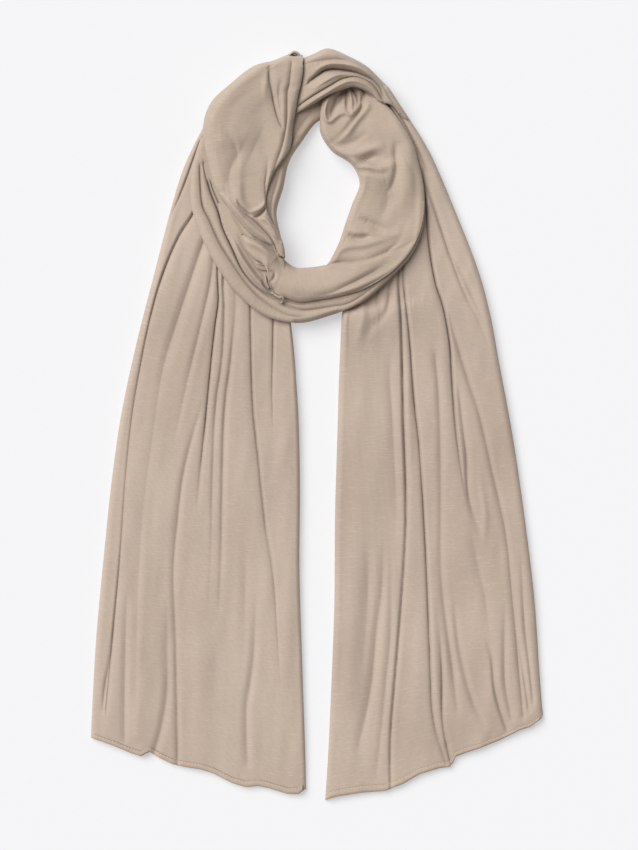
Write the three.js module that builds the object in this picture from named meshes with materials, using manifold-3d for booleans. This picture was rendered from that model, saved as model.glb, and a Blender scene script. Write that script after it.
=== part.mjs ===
// A long jersey scarf, looped once and laid flat, as a folded garment lies on a table.
// Millimetres, +Z up. The origin is the middle of its footprint, on the surface it lies on,
// and +Y runs from the two hems up to the back of the neck.

import * as THREE from 'three';
import Module from 'manifold-3d';
import { mergeVertices } from 'three/addons/utils/BufferGeometryUtils.js';

const wasm = await Module();
wasm.setup();

// Driving dimensions
const seamGap = 0.3;
const rimHeight = 1;
const rimReach = 7;
const thinnest = 1.8;
const underLayer = 2.4;
const panelFloor = underLayer + seamGap;
const belowFloor = -5;
const shortestEdge = 0.04;
const hemBand = 6.4;
const hemThickness = 0.8;
const columnsInFold = [0, 0.16, 0.38, 0.62, 0.84];
const hiddenInset = 2;
const hiddenRim = 2;
const hemInset = 3;

// The middle of the footprint in the tables, which becomes the origin
const middleX = -1;
const middleY = 0.25;

// Gives each row of a table its column names
function table(columns, rows) {
  const names = columns.split(' ');
  return rows.map((row) => Object.fromEntries(names.map((name, i) => [name, row[i]])));
}

// A smooth curve through evenly spaced values
function through(values, t) {
  const place = THREE.MathUtils.clamp(t, 0, 1) * (values.length - 1);
  const i = Math.min(Math.floor(place), values.length - 2);
  const f = place - i;
  const before = values[Math.max(i - 1, 0)];
  const after = values[Math.min(i + 2, values.length - 1)];
  const slope = (values[i + 1] - before) / 2;
  const nextSlope = (after - values[i]) / 2;
  const rise = values[i + 1] - values[i];
  return values[i] + f * (slope + f * (3 * rise - 2 * slope - nextSlope + f * (slope + nextSlope - 2 * rise)));
}

// How far a hem hangs below a straight line at one place, in straight steps
function dropAt(hem, x) {
  const next = hem.findIndex((row) => row.x > x);
  const i = next === -1 ? hem.length - 1 : Math.max(next, 1);
  const from = hem[i - 1];
  const to = hem[i];
  const f = THREE.MathUtils.clamp((x - from.x) / (to.x - from.x), 0, 1);
  return from.drop + f * (to.drop - from.drop);
}

// How much of a groove's depth is left at a distance from its line
function groove(distance, reach, soft) {
  if (distance >= reach) {
    return 0;
  }
  return 1 - Math.sin((Math.PI / 2) * (distance / reach)) ** soft;
}

// The distance from a point to a crease that bends through three points
function offCrease(x, y, crease) {
  let nearest = Infinity;
  for (let step = 0; step <= 10; step += 1) {
    const t = step / 10;
    const a = (1 - t) * (1 - 2 * t);
    const b = 4 * t * (1 - t);
    const c = t * (2 * t - 1);
    const dx = x - (a * crease.x1 + b * crease.x2 + c * crease.x3);
    const dy = y - (a * crease.y1 + b * crease.y2 + c * crease.y3);
    nearest = Math.min(nearest, Math.hypot(dx, dy));
  }
  return nearest;
}

// The places of the folds across one section, as parts of its width
function foldPlaces(stretch, s) {
  return stretch.folds.map((fold) => {
    if (fold.at) {
      return through(fold.at, s);
    }
    const parts = fold.x.map((x, i) => {
      const section = stretch.sections[i];
      return (x - section.leftX) / (section.rightX - section.leftX);
    });
    return through(parts, s);
  });
}

// The places along a stretch where its rows of points lie, as parts of its length
function rowStops(stretch) {
  const last = stretch.sections.length - 1;
  const stops = [];
  for (let i = 0; i < last; i += 1) {
    const rows = stretch.rows[i] ?? stretch.rows.at(-1);
    for (let k = 0; k < rows; k += 1) {
      stops.push((i + k / rows) / last);
    }
  }
  if (stretch.hem) {
    stops.push(1 - hemBand / stretch.lastSpan / last);
  }
  stops.push(1);
  return stops;
}

// The two ends and the height of the section at one place along a stretch
function sectionAt(stretch, s) {
  const value = (name) => through(stretch.sections.map((section) => section[name]), s);
  return {
    left: new THREE.Vector2(value('leftX'), value('leftY')),
    right: new THREE.Vector2(value('rightX'), value('rightY')),
    crest: value('crest'),
  };
}

// A stretch of cloth as rows of points. Each row crosses it from its left edge to its right
// edge, with a column on the line of each fold.
function clothRows(stretch) {
  const { folds, creases = [], hem, floor = 0, rim = rimReach } = stretch;
  const last = stretch.sections.length - 1;
  return rowStops(stretch).map((s) => {
    const { left, right, crest } = sectionAt(stretch, s);
    const width = left.distanceTo(right);
    const places = foldPlaces(stretch, s);
    const lines = [0, ...places, 1];
    const across = [];
    for (let j = 0; j + 1 < lines.length; j += 1) {
      for (const part of columnsInFold) {
        across.push(lines[j] + part * (lines[j + 1] - lines[j]));
      }
    }
    across.push(1);
    const hemWeight = hem ? THREE.MathUtils.smoothstep(s, 1 - 2 / last, 1) : 0;
    return across.map((u) => {
      const x = THREE.MathUtils.lerp(left.x, right.x, u);
      const straightY = THREE.MathUtils.lerp(left.y, right.y, u);
      const y = hem ? straightY - hemWeight * dropAt(hem, x) : straightY;
      let depth = 0;
      folds.forEach((fold, j) => {
        const away = (u - places[j]) * width;
        const reach = away < 0 ? fold.left : fold.right;
        depth += (through(fold.sink, s) * groove(Math.abs(away), reach, fold.soft)) ** 3;
      });
      for (const crease of creases) {
        depth += (crease.depth * Math.exp(-((offCrease(x, y, crease) / crease.width) ** 2))) ** 3;
      }
      const rimPart = groove(u * width, rim, 0.5) + groove((1 - u) * width, rim, 0.5);
      const sunk = crest - Math.cbrt(depth) - rimPart * (crest - floor - rimHeight);
      const z = Math.max(sunk, floor + (rimPart > 0 ? rimHeight : thinnest));
      return new THREE.Vector3(x, y, z);
    });
  });
}

// The room that a stretch takes up: its outline moved out by the gap, as high as its crest
function roomRows(stretch) {
  const rows = rowStops(stretch).map((s) => {
    const { left, right, crest } = sectionAt(stretch, s);
    const out = right.clone().sub(left).setLength(seamGap);
    return [left.sub(out), right.add(out)].map((end) => new THREE.Vector3(end.x, end.y, crest + seamGap));
  });
  const moveOut = (row, inner) => row.forEach((point, i) => {
    const out = point.clone().sub(inner[i]).setZ(0).setLength(seamGap);
    point.add(out);
  });
  moveOut(rows[0], rows[1]);
  moveOut(rows.at(-1), rows.at(-2));
  return rows;
}

// A closed solid between rows of points and the flat floor beneath them. Its first end is
// straight, and so is its last unless it is a hem.
function solidOver(rows, floor, hemEnd = false) {
  const positions = [];
  const put = (point, z) => positions.push(point.x, point.y, z) / 3 - 1;
  const tops = rows.map((row) => row.map((point) => put(point, point.z)));
  const faces = [];
  for (let i = 0; i + 1 < rows.length; i += 1) {
    for (let j = 0; j + 1 < rows[i].length; j += 1) {
      const [a, b, c, d] = [tops[i][j], tops[i][j + 1], tops[i + 1][j], tops[i + 1][j + 1]];
      faces.push([a, c, b], [b, c, d]);
    }
  }
  const lastRow = rows.length - 1;
  const lastColumn = rows[0].length - 1;
  const outline = [];
  const foot = (i, j) => {
    outline.push(new THREE.Vector2(rows[i][j].x, rows[i][j].y));
    return put(rows[i][j], floor);
  };
  const leftFeet = rows.map((row, i) => foot(i, 0));
  const hemFeet = hemEnd ? rows[lastRow].slice(1, -1).map((point, j) => foot(lastRow, j + 1)) : [];
  const rightFeet = rows.map((row, i) => foot(lastRow - i, lastColumn)).reverse();
  const wall = (upper, lower) => {
    for (let k = 0; k + 1 < upper.length; k += 1) {
      faces.push([upper[k], lower[k], upper[k + 1]], [upper[k + 1], lower[k], lower[k + 1]]);
    }
  };
  const straightWall = (upper, from, to) => {
    const middle = Math.floor(upper.length / 2);
    for (let k = 0; k + 1 < upper.length; k += 1) {
      faces.push([upper[k], k < middle ? from : to, upper[k + 1]]);
    }
    faces.push([upper[middle], from, to]);
  };
  wall(tops.map((row) => row[0]), leftFeet);
  wall(tops.map((row) => row[lastColumn]).reverse(), [...rightFeet].reverse());
  straightWall([...tops[0]].reverse(), rightFeet[0], leftFeet[0]);
  if (hemEnd) {
    wall(tops[lastRow], [leftFeet[lastRow], ...hemFeet, rightFeet[lastRow]]);
  } else {
    straightWall(tops[lastRow], leftFeet[lastRow], rightFeet[lastRow]);
  }
  const feet = [...leftFeet, ...hemFeet, ...[...rightFeet].reverse()];
  const turns = THREE.ShapeUtils.area(outline) > 0;
  for (const [a, b, c] of THREE.ShapeUtils.triangulateShape(outline, [])) {
    faces.push(turns ? [feet[a], feet[c], feet[b]] : [feet[a], feet[b], feet[c]]);
  }
  const index = faces.flatMap(([a, b, c]) => (turns ? [a, b, c] : [a, c, b]));
  const geometry = new THREE.BufferGeometry();
  geometry.setAttribute('position', new THREE.Float32BufferAttribute(positions, 3));
  geometry.setIndex(index);
  return geometry;
}

// Turns a geometry into a solid that can be cut, and back, with its shortest edges closed up
function toManifold(geometry) {
  const merged = mergeVertices(geometry, 1e-5);
  return new wasm.Manifold(new wasm.Mesh({
    numProp: 3,
    vertProperties: new Float32Array(merged.attributes.position.array),
    triVerts: new Uint32Array(merged.index.array),
  }));
}

function toGeometry(solid) {
  const mesh = solid.getMesh();
  const corners = Array.from({ length: mesh.numVert }, (none, i) => (
    new THREE.Vector3().fromArray(mesh.vertProperties, 3 * i)
  ));
  const joined = corners.map((corner, i) => i);
  const faces = [];
  for (let i = 0; i < mesh.numTri; i += 1) {
    faces.push([...mesh.triVerts.slice(3 * i, 3 * i + 3)]);
  }
  for (const face of faces) {
    face.forEach((from, k) => {
      const to = face[(k + 1) % 3];
      if (corners[from].distanceTo(corners[to]) < shortestEdge) {
        joined[Math.max(from, to)] = joined[Math.min(from, to)];
      }
    });
  }
  const kept = faces.map((face) => face.map((corner) => joined[joined[corner]]));
  const geometry = new THREE.BufferGeometry();
  geometry.setAttribute('position', new THREE.BufferAttribute(mesh.vertProperties, 3));
  geometry.setIndex(kept.filter((face) => new Set(face).size === 3).flat());
  return mergeVertices(geometry, 1e-5);
}

// Lays a stretch over those already down: it keeps clear of the room that each takes up
function layOver(stretch, below) {
  let solid = toManifold(solidOver(clothRows(stretch), stretch.floor ?? 0, Boolean(stretch.hem)));
  for (const lower of below) {
    solid = solid.subtract(toManifold(solidOver(roomRows(lower), belowFloor)));
  }
  const bodies = solid.decompose().sort((a, b) => b.volume() - a.volume());
  return toGeometry(bodies[0]);
}

// The left tail, from under the ring down to its hem
const sectionColumns = 'leftX leftY rightX rightY crest';
const leftTail = {
  floor: panelFloor,
  rows: [1, 2, 2, 2, 2, 2, 2, 2, 2, 2],
  lastSpan: 42,
  sections: table(sectionColumns, [
    [-111.5, 262, -31, 152, 9.5],
    [-123.3, 238.7, -28.5, 128, 10],
    [-134.3, 202, -25.3, 98, 10.5],
    [-151, 137.5, -22, 68, 10.5],
    [-166.5, 77, -20, 41, 10],
    [-180.5, 12, -17.6, 0, 9.5],
    [-189.5, -49, -16.6, -60, 9],
    [-197, -120, -17, -135, 8.5],
    [-204, -195, -14.5, -220, 8],
    [-207.5, -255, -12, -292, 6.5],
    [-209, -288, -11, -335, 5.2],
  ]),
  folds: [
    // The turned strip along the outer edge
    {
      x: [-101, -109, -118, -145, -161.5, -170.5, -177, -181, -189, -195, -196],
      sink: [1, 4, 4.5, 3.5, 4.5, 1.5], left: 4, right: 7, soft: 0.6,
    },
    // The soft fold beside it
    {
      x: [-92, -98, -103.5, -126, -142.5, -149, -152, -162, -168, -170, -168],
      sink: [1, 4, 3.5, 0.6, 0.5, 0.6], left: 5, right: 9, soft: 0.8,
    },
    // A fold that swings out towards the hem
    {
      x: [-84, -89, -96, -108, -120, -131, -138, -144, -139, -141, -152],
      sink: [0, 1, 2.5, 0.3, 1.2, 3.5], left: 6, right: 8, soft: 1,
    },
    // The long fold down the middle, deepest near the hem
    {
      x: [-76, -82, -91, -99, -105, -111, -125, -133, -130.5, -129, -128.5],
      sink: [0, 3, 1, 2, 3.2, 0.8], left: 5, right: 5, soft: 0.7,
    },
    // The sharp pleat out of the ring
    {
      x: [-71, -77, -85.5, -92, -98.5, -103.5, -109.5, -112, -112, -112, -112],
      sink: [0, 3, 5.5, 4, 0.4, 0], left: 4, right: 5, soft: 0.6,
    },
    // Its close neighbour
    {
      x: [-66, -72, -80, -86, -88.5, -94.5, -97, -98.5, -101, -103, -104],
      sink: [0, 3, 3, 2, 0.8, 0], left: 4, right: 4, soft: 0.8,
    },
    // The inner pleat of the three
    {
      x: [-61, -66, -73, -80, -81.5, -86, -88, -88.8, -92, -93, -94],
      sink: [0, 1, 3, 3.5, 0.8, 0], left: 4, right: 6, soft: 0.7,
    },
    // A soft dip, deeper towards the hem
    {
      x: [-56, -60, -67, -74.5, -76, -75, -70, -64, -59, -64.5, -64],
      sink: [0, 1, 1, 0.3, 2.2, 1.5], left: 7, right: 6, soft: 1,
    },
    // The long fold of the inner half
    {
      x: [-49, -51, -57, -62, -60.5, -58, -51.5, -41, -37, -33, -30],
      sink: [0, 3.5, 4, 3.8, 3, 0.3], left: 6, right: 4, soft: 0.6,
    },
    // The short pleat nearest the inner edge
    {
      x: [-40, -40, -41, -42, -42.3, -42, -35, -29, -26, -23, -21],
      sink: [0, 3.5, 2.5, 0.2, 0, 0], left: 5, right: 5, soft: 0.6,
    },
  ],
  hem: table('x drop', [
    [-209, 0], [-188, 2.5], [-172, 5.5], [-163, 6.3], [-155, 0.4], [-146, 3.7],
    [-134, 6.6], [-122, 6.4], [-108, 5.2], [-97, 6.1], [-88, 8.5], [-79, 10.9],
    [-67, 11.8], [-55, 8], [-46, 7.7], [-28, 8.9], [-18, 6.7], [-11, 0],
  ]),
};

// The right tail, from the top of the ring down its outside to its hem
const rightTail = {
  floor: panelFloor,
  rows: [1, 1, 2, 2, 2, 2, 2, 2, 2, 2, 2, 2],
  lastSpan: 30,
  sections: table(sectionColumns, [
    [50, 297, 65, 309, 14],
    [62, 270, 83, 283, 12],
    [70, 240, 104, 248, 11],
    [70, 205, 126, 197, 10.6],
    [60, 158, 147, 143, 10.7],
    [24, 116, 158.5, 101, 10.5],
    [20, 60, 167, 55, 10],
    [17.8, -10, 179, -10, 9.5],
    [15.6, -85, 190, -85, 9],
    [15, -165, 199, -160, 8.5],
    [12, -245, 203.5, -225, 7.5],
    [9.5, -300, 205.5, -250, 6.2],
    [6.5, -345.5, 207, -266, 5.2],
  ]),
  folds: [
    // The short fold of the inner half
    {
      x: [51, 63.5, 71.5, 71.5, 62.5, 69.5, 56, 60, 64.5, 57, 48.5, 38, 30],
      sink: [0, 0, 3, 0.5, 1, 4, 2], left: 7, right: 5, soft: 0.8,
    },
    // A soft dip beside it
    {
      x: [52, 65, 73, 73.5, 65, 73, 67, 70.3, 72.5, 65.5, 61.5, 59, 57],
      sink: [0, 0, 1, 2.5, 1.5, 1.5, 1.5], left: 6, right: 5, soft: 1,
    },
    // The sharp pleat out of the ring
    {
      x: [53, 66.5, 75, 75.5, 69, 76.3, 78.8, 80, 81.8, 77.5, 71.5, 67.5, 69],
      sink: [0, 0, 4, 6, 5, 5, 4], left: 4, right: 6, soft: 0.6,
    },
    // Its close neighbour
    {
      x: [54, 68, 77.5, 78.5, 74, 80.7, 86, 92, 97.3, 101, 103, 112, 118],
      sink: [0, 0, 4, 5.5, 4, 5, 4], left: 6, right: 4, soft: 0.6,
    },
    // The fold that crosses to the hem
    {
      x: [55, 70, 80.5, 83.5, 90, 104, 112, 113.5, 114.5, 116.5, 125, 124, 126],
      sink: [0, 1, 2, 2, 4.5, 3, 3], left: 5, right: 6, soft: 0.7,
    },
    // A soft dip, deeper towards the hem
    {
      x: [56, 71.5, 84, 90, 98, 110, 117, 120.5, 119.5, 123, 136, 147, 152],
      sink: [0, 0, 0, 0, 0.5, 3.5, 2.5], left: 5, right: 6, soft: 0.8,
    },
    // The thick pleat down from the ring
    {
      x: [57.5, 73.5, 90, 98.5, 104, 115.5, 122, 127.5, 138, 147, 161, 169, 174],
      sink: [1, 2, 6, 5, 3, 2.5, 3], left: 6, right: 5, soft: 0.6,
    },
    // Its outer neighbour
    {
      x: [58.5, 75, 92.5, 101.5, 107, 117.8, 126.5, 135, 146.5, 157, 171, 172.5, 180],
      sink: [0, 0, 0, 2, 4.5, 2, 2.5], left: 5, right: 5, soft: 0.7,
    },
    // The long fold that swings to the outer corner
    {
      x: [60, 77, 95, 104, 111, 120.5, 133.5, 153, 170, 181, 185, 188, 192.5],
      sink: [0, 0, 1, 5, 4.5, 4, 2], left: 6, right: 5, soft: 0.6,
    },
    // The turned strip along the outer edge
    {
      x: [61.5, 79.5, 99, 108.5, 126, 143, 160.5, 173, 184, 193.5, 198.5, 201, 203],
      sink: [1.5, 3, 2.5, 2, 0, 0, 0], left: 6, right: 6, soft: 0.8,
    },
  ],
  hem: table('x drop', [
    [6.5, 0], [16, 0.8], [39, 6.2], [62, 13.5], [78, 13.6], [94, 10.6], [112, 12.4],
    [120.5, 14.8], [124, 12.6], [126.5, 7.8], [138, 7.9], [149, 8.6], [167, 8.6],
    [186, 6.7], [195, 7.5], [206, 3.6], [207, 0],
  ]),
};

// The stretch behind the neck that goes on, under the ring, into the left tail
const neckUnder = {
  rows: [2],
  sections: table(sectionColumns, [
    [8, 322, 12, 284, 6],
    [-6, 322, -2, 277.5, 9.5],
    [-28, 315, -14.5, 261, 10.5],
    [-58, 300, -26.5, 242, 11],
    [-80, 280, -32, 218, 11],
    [-92, 262, -38.2, 195, 11],
    [-99, 252, -34, 171, 10.5],
    [-103, 246, -32.5, 150.5, 10],
  ]),
  folds: [
    // The dip along its middle
    {
      at: [0.5, 0.5, 0.5, 0.5, 0.6, 0.7, 0.75, 0.7],
      sink: [1, 2, 2, 2], left: 8, right: 8, soft: 1,
    },
  ],
};

// The outer strands of the ring, down its left side, across the front and up its right side
const ringBand = {
  rows: [2],
  rim: 5,
  sections: table(sectionColumns, [
    [-107.5, 262, -97, 264, 15],
    [-115, 238, -93, 236, 18],
    [-117, 207, -82, 208, 19],
    [-111, 182, -72, 188, 19.5],
    [-97, 152, -60, 165, 19.5],
    [-76, 122, -48, 143, 19],
    [-48, 99.5, -36, 124, 17],
    [-18, 93.5, -14, 120, 15.5],
    [10, 100, 8, 124, 15.5],
    [40, 112, 33, 130, 17],
    [66, 134, 57, 146, 18],
    [86, 156, 75, 164, 18],
    [95.5, 178, 84, 182, 17],
  ]),
  folds: [
    // Between the first and second strand
    {
      at: [0.15, 0.2, 0.29, 0.33, 0.3, 0.36, 0.38, 0.22, 0.2, 0.2, 0.2, 0.2, 0.2],
      sink: [2, 3.5, 3.5, 3.5, 1, 0, 0], left: 4, right: 4, soft: 0.6,
    },
    // Between the second and third strand
    {
      at: [0.5, 0.42, 0.5, 0.54, 0.5, 0.52, 0.62, 0.52, 0.4, 0.4, 0.4, 0.4, 0.4],
      sink: [3, 4, 4, 4, 3, 0.5, 0], left: 4, right: 4, soft: 0.6,
    },
    // The short split of the third strand
    {
      at: [0.75, 0.65, 0.68, 0.7, 0.7, 0.7, 0.8, 0.78, 0.7, 0.7, 0.7, 0.7, 0.7],
      sink: [3, 4, 2, 2, 0, 0, 0], left: 3, right: 3, soft: 0.6,
    },
  ],
};

// The front of the ring on the right, gathered where it goes under the back of the neck
const frontRight = {
  rows: [2],
  rim: 8,
  sections: table(sectionColumns, [
    [5, 315, 48, 314, 14],
    [2, 292, 61, 293, 18],
    [2.3, 268, 79, 273, 21],
    [13, 252, 88, 256, 22],
    [31, 239, 93, 238, 22],
    [38, 222, 97, 220, 22],
    [31.5, 203, 98.5, 203, 22],
    [25.5, 186, 97, 188, 21.5],
    [18.5, 166, 92, 172, 19],
    [7.5, 145, 80, 150, 12],
  ]),
  folds: [
    // The dip inside the gather
    {
      at: [0.3, 0.28, 0.3, 0.27, 0.25, 0.25, 0.25, 0.25, 0.25, 0.25],
      sink: [0, 1, 0, 0, 0], left: 6, right: 6, soft: 1,
    },
    // The fold up the middle
    {
      at: [0.55, 0.55, 0.52, 0.5, 0.5, 0.5, 0.5, 0.5, 0.5, 0.5],
      sink: [2, 3, 0, 0, 0], left: 6, right: 6, soft: 1,
    },
    // The soft dip along the outer side
    {
      at: [0.8, 0.78, 0.76, 0.78, 0.76, 0.75, 0.74, 0.76, 0.78, 0.8],
      sink: [0, 0, 1.5, 1.5, 0], left: 8, right: 8, soft: 1.2,
    },
  ],
  creases: table('x1 y1 x2 y2 x3 y3 depth width', [
    [16, 303, 20, 293, 27, 287, 8, 7],
    [26, 271, 32, 284, 38, 297, 3.5, 3],
    [12, 260, 24, 264, 42, 293, 3, 3],
    [27, 245, 40, 243, 54, 247, 4, 3],
    [32, 240, 45, 231, 66, 233, 4, 3.5],
    [75, 254, 76, 242, 74, 228, 2, 4],
    [41, 189, 56, 184, 74, 187, 3, 3],
    [28, 172, 40, 171, 50, 174, 3, 3],
    [15, 156, 30, 160, 47, 154, 4, 4],
  ]),
};

// The strands that cross over the back of the neck, out of the right tail
const neckOver = {
  rows: [2],
  rim: 5,
  sections: table(sectionColumns, [
    [64.4, 309.9, 49.3, 297.9, 14],
    [57, 318, 51, 305, 18],
    [45, 329.5, 43, 313.5, 22],
    [30, 338, 31, 316.5, 23],
    [10, 346, 14, 313, 23],
    [-4, 341, 0, 305, 21],
    [-14, 336.5, -11, 295, 18],
    [-24, 330, -22, 285.5, 14],
  ]),
  folds: [
    // The thin strand at the back
    {
      at: [0.3, 0.3, 0.28, 0.29, 0.32, 0.2, 0.13, 0.1],
      sink: [2, 3, 3, 2], left: 4, right: 3, soft: 0.7,
    },
    // The deep gap between the two strands
    {
      at: [0.56, 0.57, 0.58, 0.53, 0.58, 0.47, 0.64, 0.76],
      sink: [2, 7, 9, 5], left: 4, right: 4, soft: 0.6,
    },
  ],
};

// The crumpled rolls where the left side of the ring turns across the front
const frontFolds = {
  rows: [2],
  rim: 5,
  sections: table(sectionColumns, [
    [-86, 196, -74, 194, 20],
    [-82, 176, -66, 180, 23],
    [-73, 156, -52, 171, 24],
    [-61, 139, -42, 163, 24],
    [-51, 127, -37, 157, 23],
    [-41, 119.5, -30, 150, 20],
  ]),
  folds: [
    // Between the two crumpled rolls
    {
      at: [0.5, 0.5, 0.46, 0.42, 0.38, 0.3],
      sink: [2, 4, 5, 4], left: 5, right: 4, soft: 0.6,
    },
  ],
  creases: table('x1 y1 x2 y2 x3 y3 depth width', [
    [-70, 176, -55, 172, -41, 162, 3, 3],
    [-62, 153, -57, 146, -48, 143, 3, 2.5],
  ]),
};

// The front of the ring on the left, from the twist at the top down to the front roll
const frontLeft = {
  rows: [2],
  rim: 7,
  sections: table(sectionColumns, [
    [-27, 340.5, -15, 339.5, 17],
    [-41, 334.5, -13.5, 328, 24],
    [-60, 329, -15, 315, 27],
    [-80, 314, -18, 302, 28],
    [-98, 297, -20, 290, 28],
    [-105.5, 276, -23, 274, 28],
    [-103, 250, -30, 251, 28],
    [-97, 226, -43, 230, 27],
    [-90, 210, -48, 209, 27],
    [-81, 197, -49, 196, 27],
    [-70, 183, -44, 187, 27],
    [-57, 171, -36.5, 177, 26],
    [-44, 162.5, -33, 166, 25],
    [-35, 157, -30.5, 158.5, 22],
  ]),
  folds: [
    // The soft valley down the outer half
    {
      x: [-24.5, -35, -51, -57, -64, -69, -72, -80, -73.5, -66, -60, -51, -41.5, -34],
      sink: [0, 1.5, 3, 3, 4, 0.5, 0.5], left: 8, right: 9, soft: 1.2,
    },
    // The lipped fold out of the twist
    {
      x: [-21, -30, -45.5, -43, -40, -35, -42, -60, -60, -58, -55, -47, -39, -33],
      sink: [0, 4, 4, 0.5, 0, 0, 0], left: 3, right: 6, soft: 0.7,
    },
    // The strip along the inner edge
    {
      x: [-18, -23, -26, -28, -28.3, -29, -35, -46.5, -50.5, -52, -51, -43, -37, -32],
      sink: [0, 3, 4, 4, 1, 4, 2], left: 4, right: 4, soft: 0.6,
    },
  ],
  creases: table('x1 y1 x2 y2 x3 y3 depth width', [
    [-73, 238, -73, 215, -62, 193, 4, 3],
    [-49, 240, -48, 220, -50, 200, 3, 3],
  ]),
};

// The roll across the front of the ring, which closes the loop
const frontRoll = {
  rows: [2],
  rim: 8,
  sections: table(sectionColumns, [
    [-50, 156, -50, 136, 20],
    [-40, 159, -43, 122, 25],
    [-20, 145, -22, 112.5, 26],
    [0, 145.5, 0, 114.5, 26],
    [20, 147.5, 20, 117.5, 26],
    [42, 151, 39, 122.5, 26],
    [65, 165, 60, 135.5, 25],
    [79, 169.5, 76, 149, 24],
    [90, 173.5, 90, 166, 20],
  ]),
  folds: [
    // The crease along its lower half
    {
      at: [0.85, 0.85, 0.82, 0.8, 0.68, 0.52, 0.58, 0.55, 0.5],
      sink: [0, 0, 2.5, 2, 0], left: 6, right: 5, soft: 0.8,
    },
  ],
};

// The layers folded away beneath a tail, a little inside its edges
function underOf(tail) {
  const sections = tail.sections.map((section) => {
    const x = section.rightX - section.leftX;
    const y = section.rightY - section.leftY;
    const part = hiddenInset / Math.hypot(x, y);
    return {
      leftX: section.leftX + part * x,
      leftY: section.leftY + part * y,
      rightX: section.rightX - part * x,
      rightY: section.rightY - part * y,
      crest: underLayer,
    };
  });
  const folds = [0.25, 0.5, 0.75].map((at) => ({
    at: [at, at], sink: [0, 0], left: 1, right: 1, soft: 1,
  }));
  const last = sections.at(-1);
  last.leftY += hiddenInset;
  last.rightY += hiddenInset;
  return { ...tail, sections, folds, floor: 0, rim: hiddenRim, rows: [1] };
}

// The hem's turned band, made from the panel's last points, moved out
function hemOf(tail) {
  const rows = clothRows(tail).slice(-2);
  const positions = [];
  const put = (point, lift) => positions.push(point.x, point.y, point.z + lift) / 3 - 1;
  const inner = rows.map((row) => row.slice(hemInset, -hemInset));
  const low = inner.map((row) => row.map((point) => put(point, seamGap)));
  const high = inner.map((row) => row.map((point) => put(point, seamGap + hemThickness)));
  const faces = [];
  const quad = (a, b, c, d) => faces.push([a, b, c], [a, c, d]);
  const last = low[0].length - 1;
  for (let j = 0; j < last; j += 1) {
    quad(high[0][j], high[1][j], high[1][j + 1], high[0][j + 1]);
    quad(low[0][j], low[0][j + 1], low[1][j + 1], low[1][j]);
    quad(high[0][j], high[0][j + 1], low[0][j + 1], low[0][j]);
    quad(high[1][j], low[1][j], low[1][j + 1], high[1][j + 1]);
  }
  quad(high[0][0], low[0][0], low[1][0], high[1][0]);
  quad(high[0][last], high[1][last], low[1][last], low[0][last]);
  const geometry = new THREE.BufferGeometry();
  geometry.setAttribute('position', new THREE.Float32BufferAttribute(positions, 3));
  geometry.setIndex(faces.flat());
  return geometry;
}

// The scarf, laid down piece by piece from the surface up
const scarf = new THREE.Group();

function addPiece(name, geometry, color) {
  const material = new THREE.MeshStandardMaterial({ color, roughness: 0.85, metalness: 0 });
  const mesh = new THREE.Mesh(geometry, material);
  mesh.name = name;
  geometry.translate(-middleX, -middleY, 0);
  scarf.add(mesh);
}

const jersey = 0xbeac9b;
const jerseyShade = 0xb3a08f;
addPiece('left_tail_under', layOver(underOf(leftTail), []), jerseyShade);
addPiece('right_tail_under', layOver(underOf(rightTail), []), jerseyShade);
addPiece('left_tail', layOver(leftTail, []), jersey);
addPiece('right_tail', layOver(rightTail, []), jersey);
addPiece('left_hem', hemOf(leftTail), jersey);
addPiece('right_hem', hemOf(rightTail), jersey);
addPiece('neck_under', layOver(neckUnder, [leftTail]), jerseyShade);
addPiece('ring_band', layOver(ringBand, [leftTail, rightTail, neckUnder]), jersey);
addPiece('front_right', layOver(frontRight, [rightTail, neckUnder, ringBand]), jersey);
addPiece('neck_over', layOver(neckOver, [rightTail, neckUnder, frontRight]), jersey);
addPiece('front_folds', layOver(frontFolds, [leftTail, neckUnder, ringBand]), jersey);
addPiece('front_left', layOver(frontLeft, [leftTail, neckUnder, ringBand, neckOver, frontFolds]), jersey);
addPiece('front_roll', layOver(frontRoll, [
  leftTail, rightTail, neckUnder, ringBand, frontRight, frontFolds, frontLeft,
]), jersey);

export default scarf;
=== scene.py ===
"""A long jersey scarf, looped once and laid flat on a white table, seen straight from above.

The cloth runs down the right side of the ring as one tail, over the back of the neck, round the
front and under everything again, where it comes out as the other tail. Lengths are in millimetres
until a mesh is made, and each place is measured from the middle of the photographed shape.
"""

import math
from collections import namedtuple

import bpy
import numpy as np
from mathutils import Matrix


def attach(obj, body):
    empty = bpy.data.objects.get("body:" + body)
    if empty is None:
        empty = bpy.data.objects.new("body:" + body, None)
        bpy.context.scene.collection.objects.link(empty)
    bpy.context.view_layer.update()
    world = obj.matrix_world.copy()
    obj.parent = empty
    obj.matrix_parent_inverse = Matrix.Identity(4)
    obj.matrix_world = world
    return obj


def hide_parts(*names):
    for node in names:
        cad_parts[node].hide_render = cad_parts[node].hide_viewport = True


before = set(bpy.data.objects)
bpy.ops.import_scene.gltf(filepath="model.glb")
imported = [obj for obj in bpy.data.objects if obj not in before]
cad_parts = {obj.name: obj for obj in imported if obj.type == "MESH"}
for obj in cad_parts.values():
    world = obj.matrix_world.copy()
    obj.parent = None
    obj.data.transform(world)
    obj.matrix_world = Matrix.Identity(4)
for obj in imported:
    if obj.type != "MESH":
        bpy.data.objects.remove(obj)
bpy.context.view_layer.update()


# The table top, the light and the camera. The scarf lies on a white board in a white room, under
# one large soft lamp above its upper left, and the camera looks straight down on it. The board
# glows a little, so that the shadows on it stay as faint as in a cut-out photograph.
mm = 0.001
centre_shift = np.array([1.0, -0.25, 0.0])
picture_height = 782.0
picture_centre = np.array([0.92, -0.46, 0.0]) + centre_shift
camera_height = 3.2
film_height = 36.0

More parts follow.
